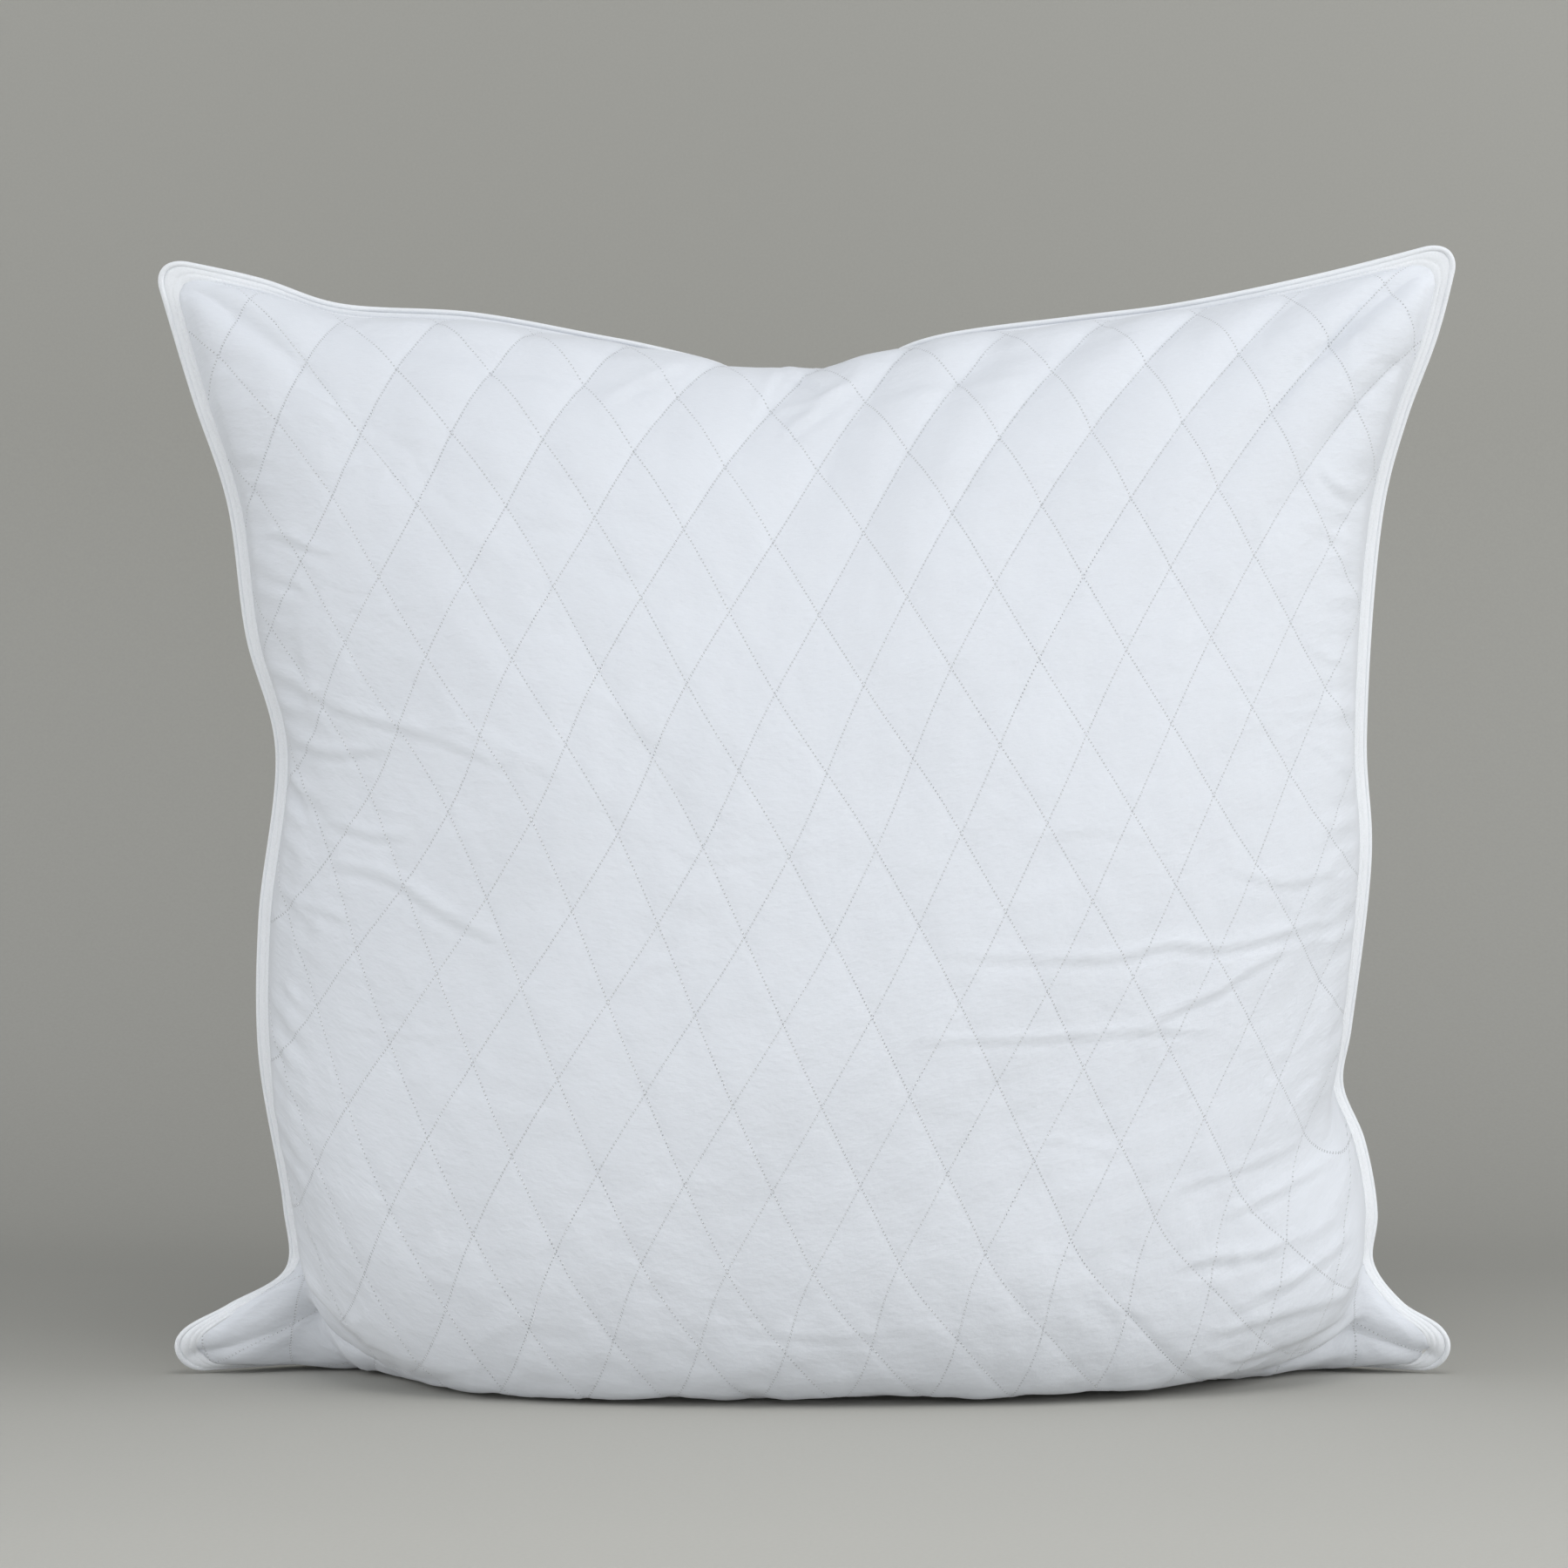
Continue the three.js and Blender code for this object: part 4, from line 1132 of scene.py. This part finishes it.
def backdrop():
    """A seamless paper sweep: floor, a round bend and a wall."""
    bend_start, bend = 0.55, 0.7
    steps = 24
    outline = [(-6.0, 0.0), (bend_start, 0.0)]
    for k in range(1, steps + 1):
        turn = k / steps * math.pi / 2
        outline.append((bend_start + bend * math.sin(turn), bend * (1 - math.cos(turn))))
    outline.append((bend_start + bend, 4.0))
    points = np.array([(x, y, z) for y, z in outline for x in (-5.0, 5.0)])
    faces = grid_quads(len(outline), 2).reshape(-1, 4)[:, ::-1]
    obj = make_object("backdrop", points, [faces])
    obj.data.materials.append(paper(PAPER))


def ramp(tree, value, places, tones):
    inputs = {0: value, 1: places[0], 2: places[1], 3: tones[0], 4: tones[1]}
    return node(tree, "ShaderNodeMapRange", inputs).outputs[0]


def paper(colour):
    """Grainy studio paper, clear from behind, with painted light and shade in its colour: paler towards the
    front of the floor and up the wall.
    """
    made, tree, shader = new_material("paper", colour, 0.92)
    place = node(tree, "ShaderNodeTexCoord").outputs["Object"]
    split = node(tree, "ShaderNodeSeparateXYZ", {0: place})
    # painted light and shade: the floor paler near the front and darker further back, behind the pillow, and
    # the wall paler higher up
    near = ramp(tree, split.outputs[1], (-0.45, 0.45), (0.30, -0.09))
    high = ramp(tree, split.outputs[2], (0.05, 1.1), (0.0, 0.2))
    grain = noise(tree, place, 420.0, 3.0)
    tone = calc(tree, "ADD", calc(tree, "ADD", near, high), calc(tree, "MULTIPLY_ADD", grain, 0.1, 0.95))
    tint(tree, shader, colour, tone)
    behind = node(tree, "ShaderNodeNewGeometry").outputs["Backfacing"]
    clear = node(tree, "ShaderNodeBsdfTransparent").outputs[0]
    mixed = node(tree, "ShaderNodeMixShader", {0: behind, 1: shader.outputs[0], 2: clear}).outputs[0]
    tree.links.new(mixed, tree.nodes["Material Output"].inputs["Surface"])
    return made


def area_light(name, place, target, size, power):
    data = bpy.data.lights.new(name, "AREA")
    data.shape = "RECTANGLE"
    data.size, data.size_y = size
    data.energy = power
    obj = new_object(name, data)
    obj.location = place
    obj.rotation_euler = (Vector(target) - Vector(place)).to_track_quat("-Z", "Y").to_euler()


def lights():
    world = bpy.data.worlds.new("studio")
    world.use_nodes = True
    sky = world.node_tree.nodes["Background"].inputs
    sky["Color"].default_value = (*SKY, 1)
    sky["Strength"].default_value = SKY_STRENGTH
    bpy.context.scene.world = world
    for light in LIGHTS:
        area_light(*light)
    view = bpy.context.scene.view_settings
    view.view_transform = "Standard"
    view.look = "None"


camera()
backdrop()
lights()

bpy.context.view_layer.update()
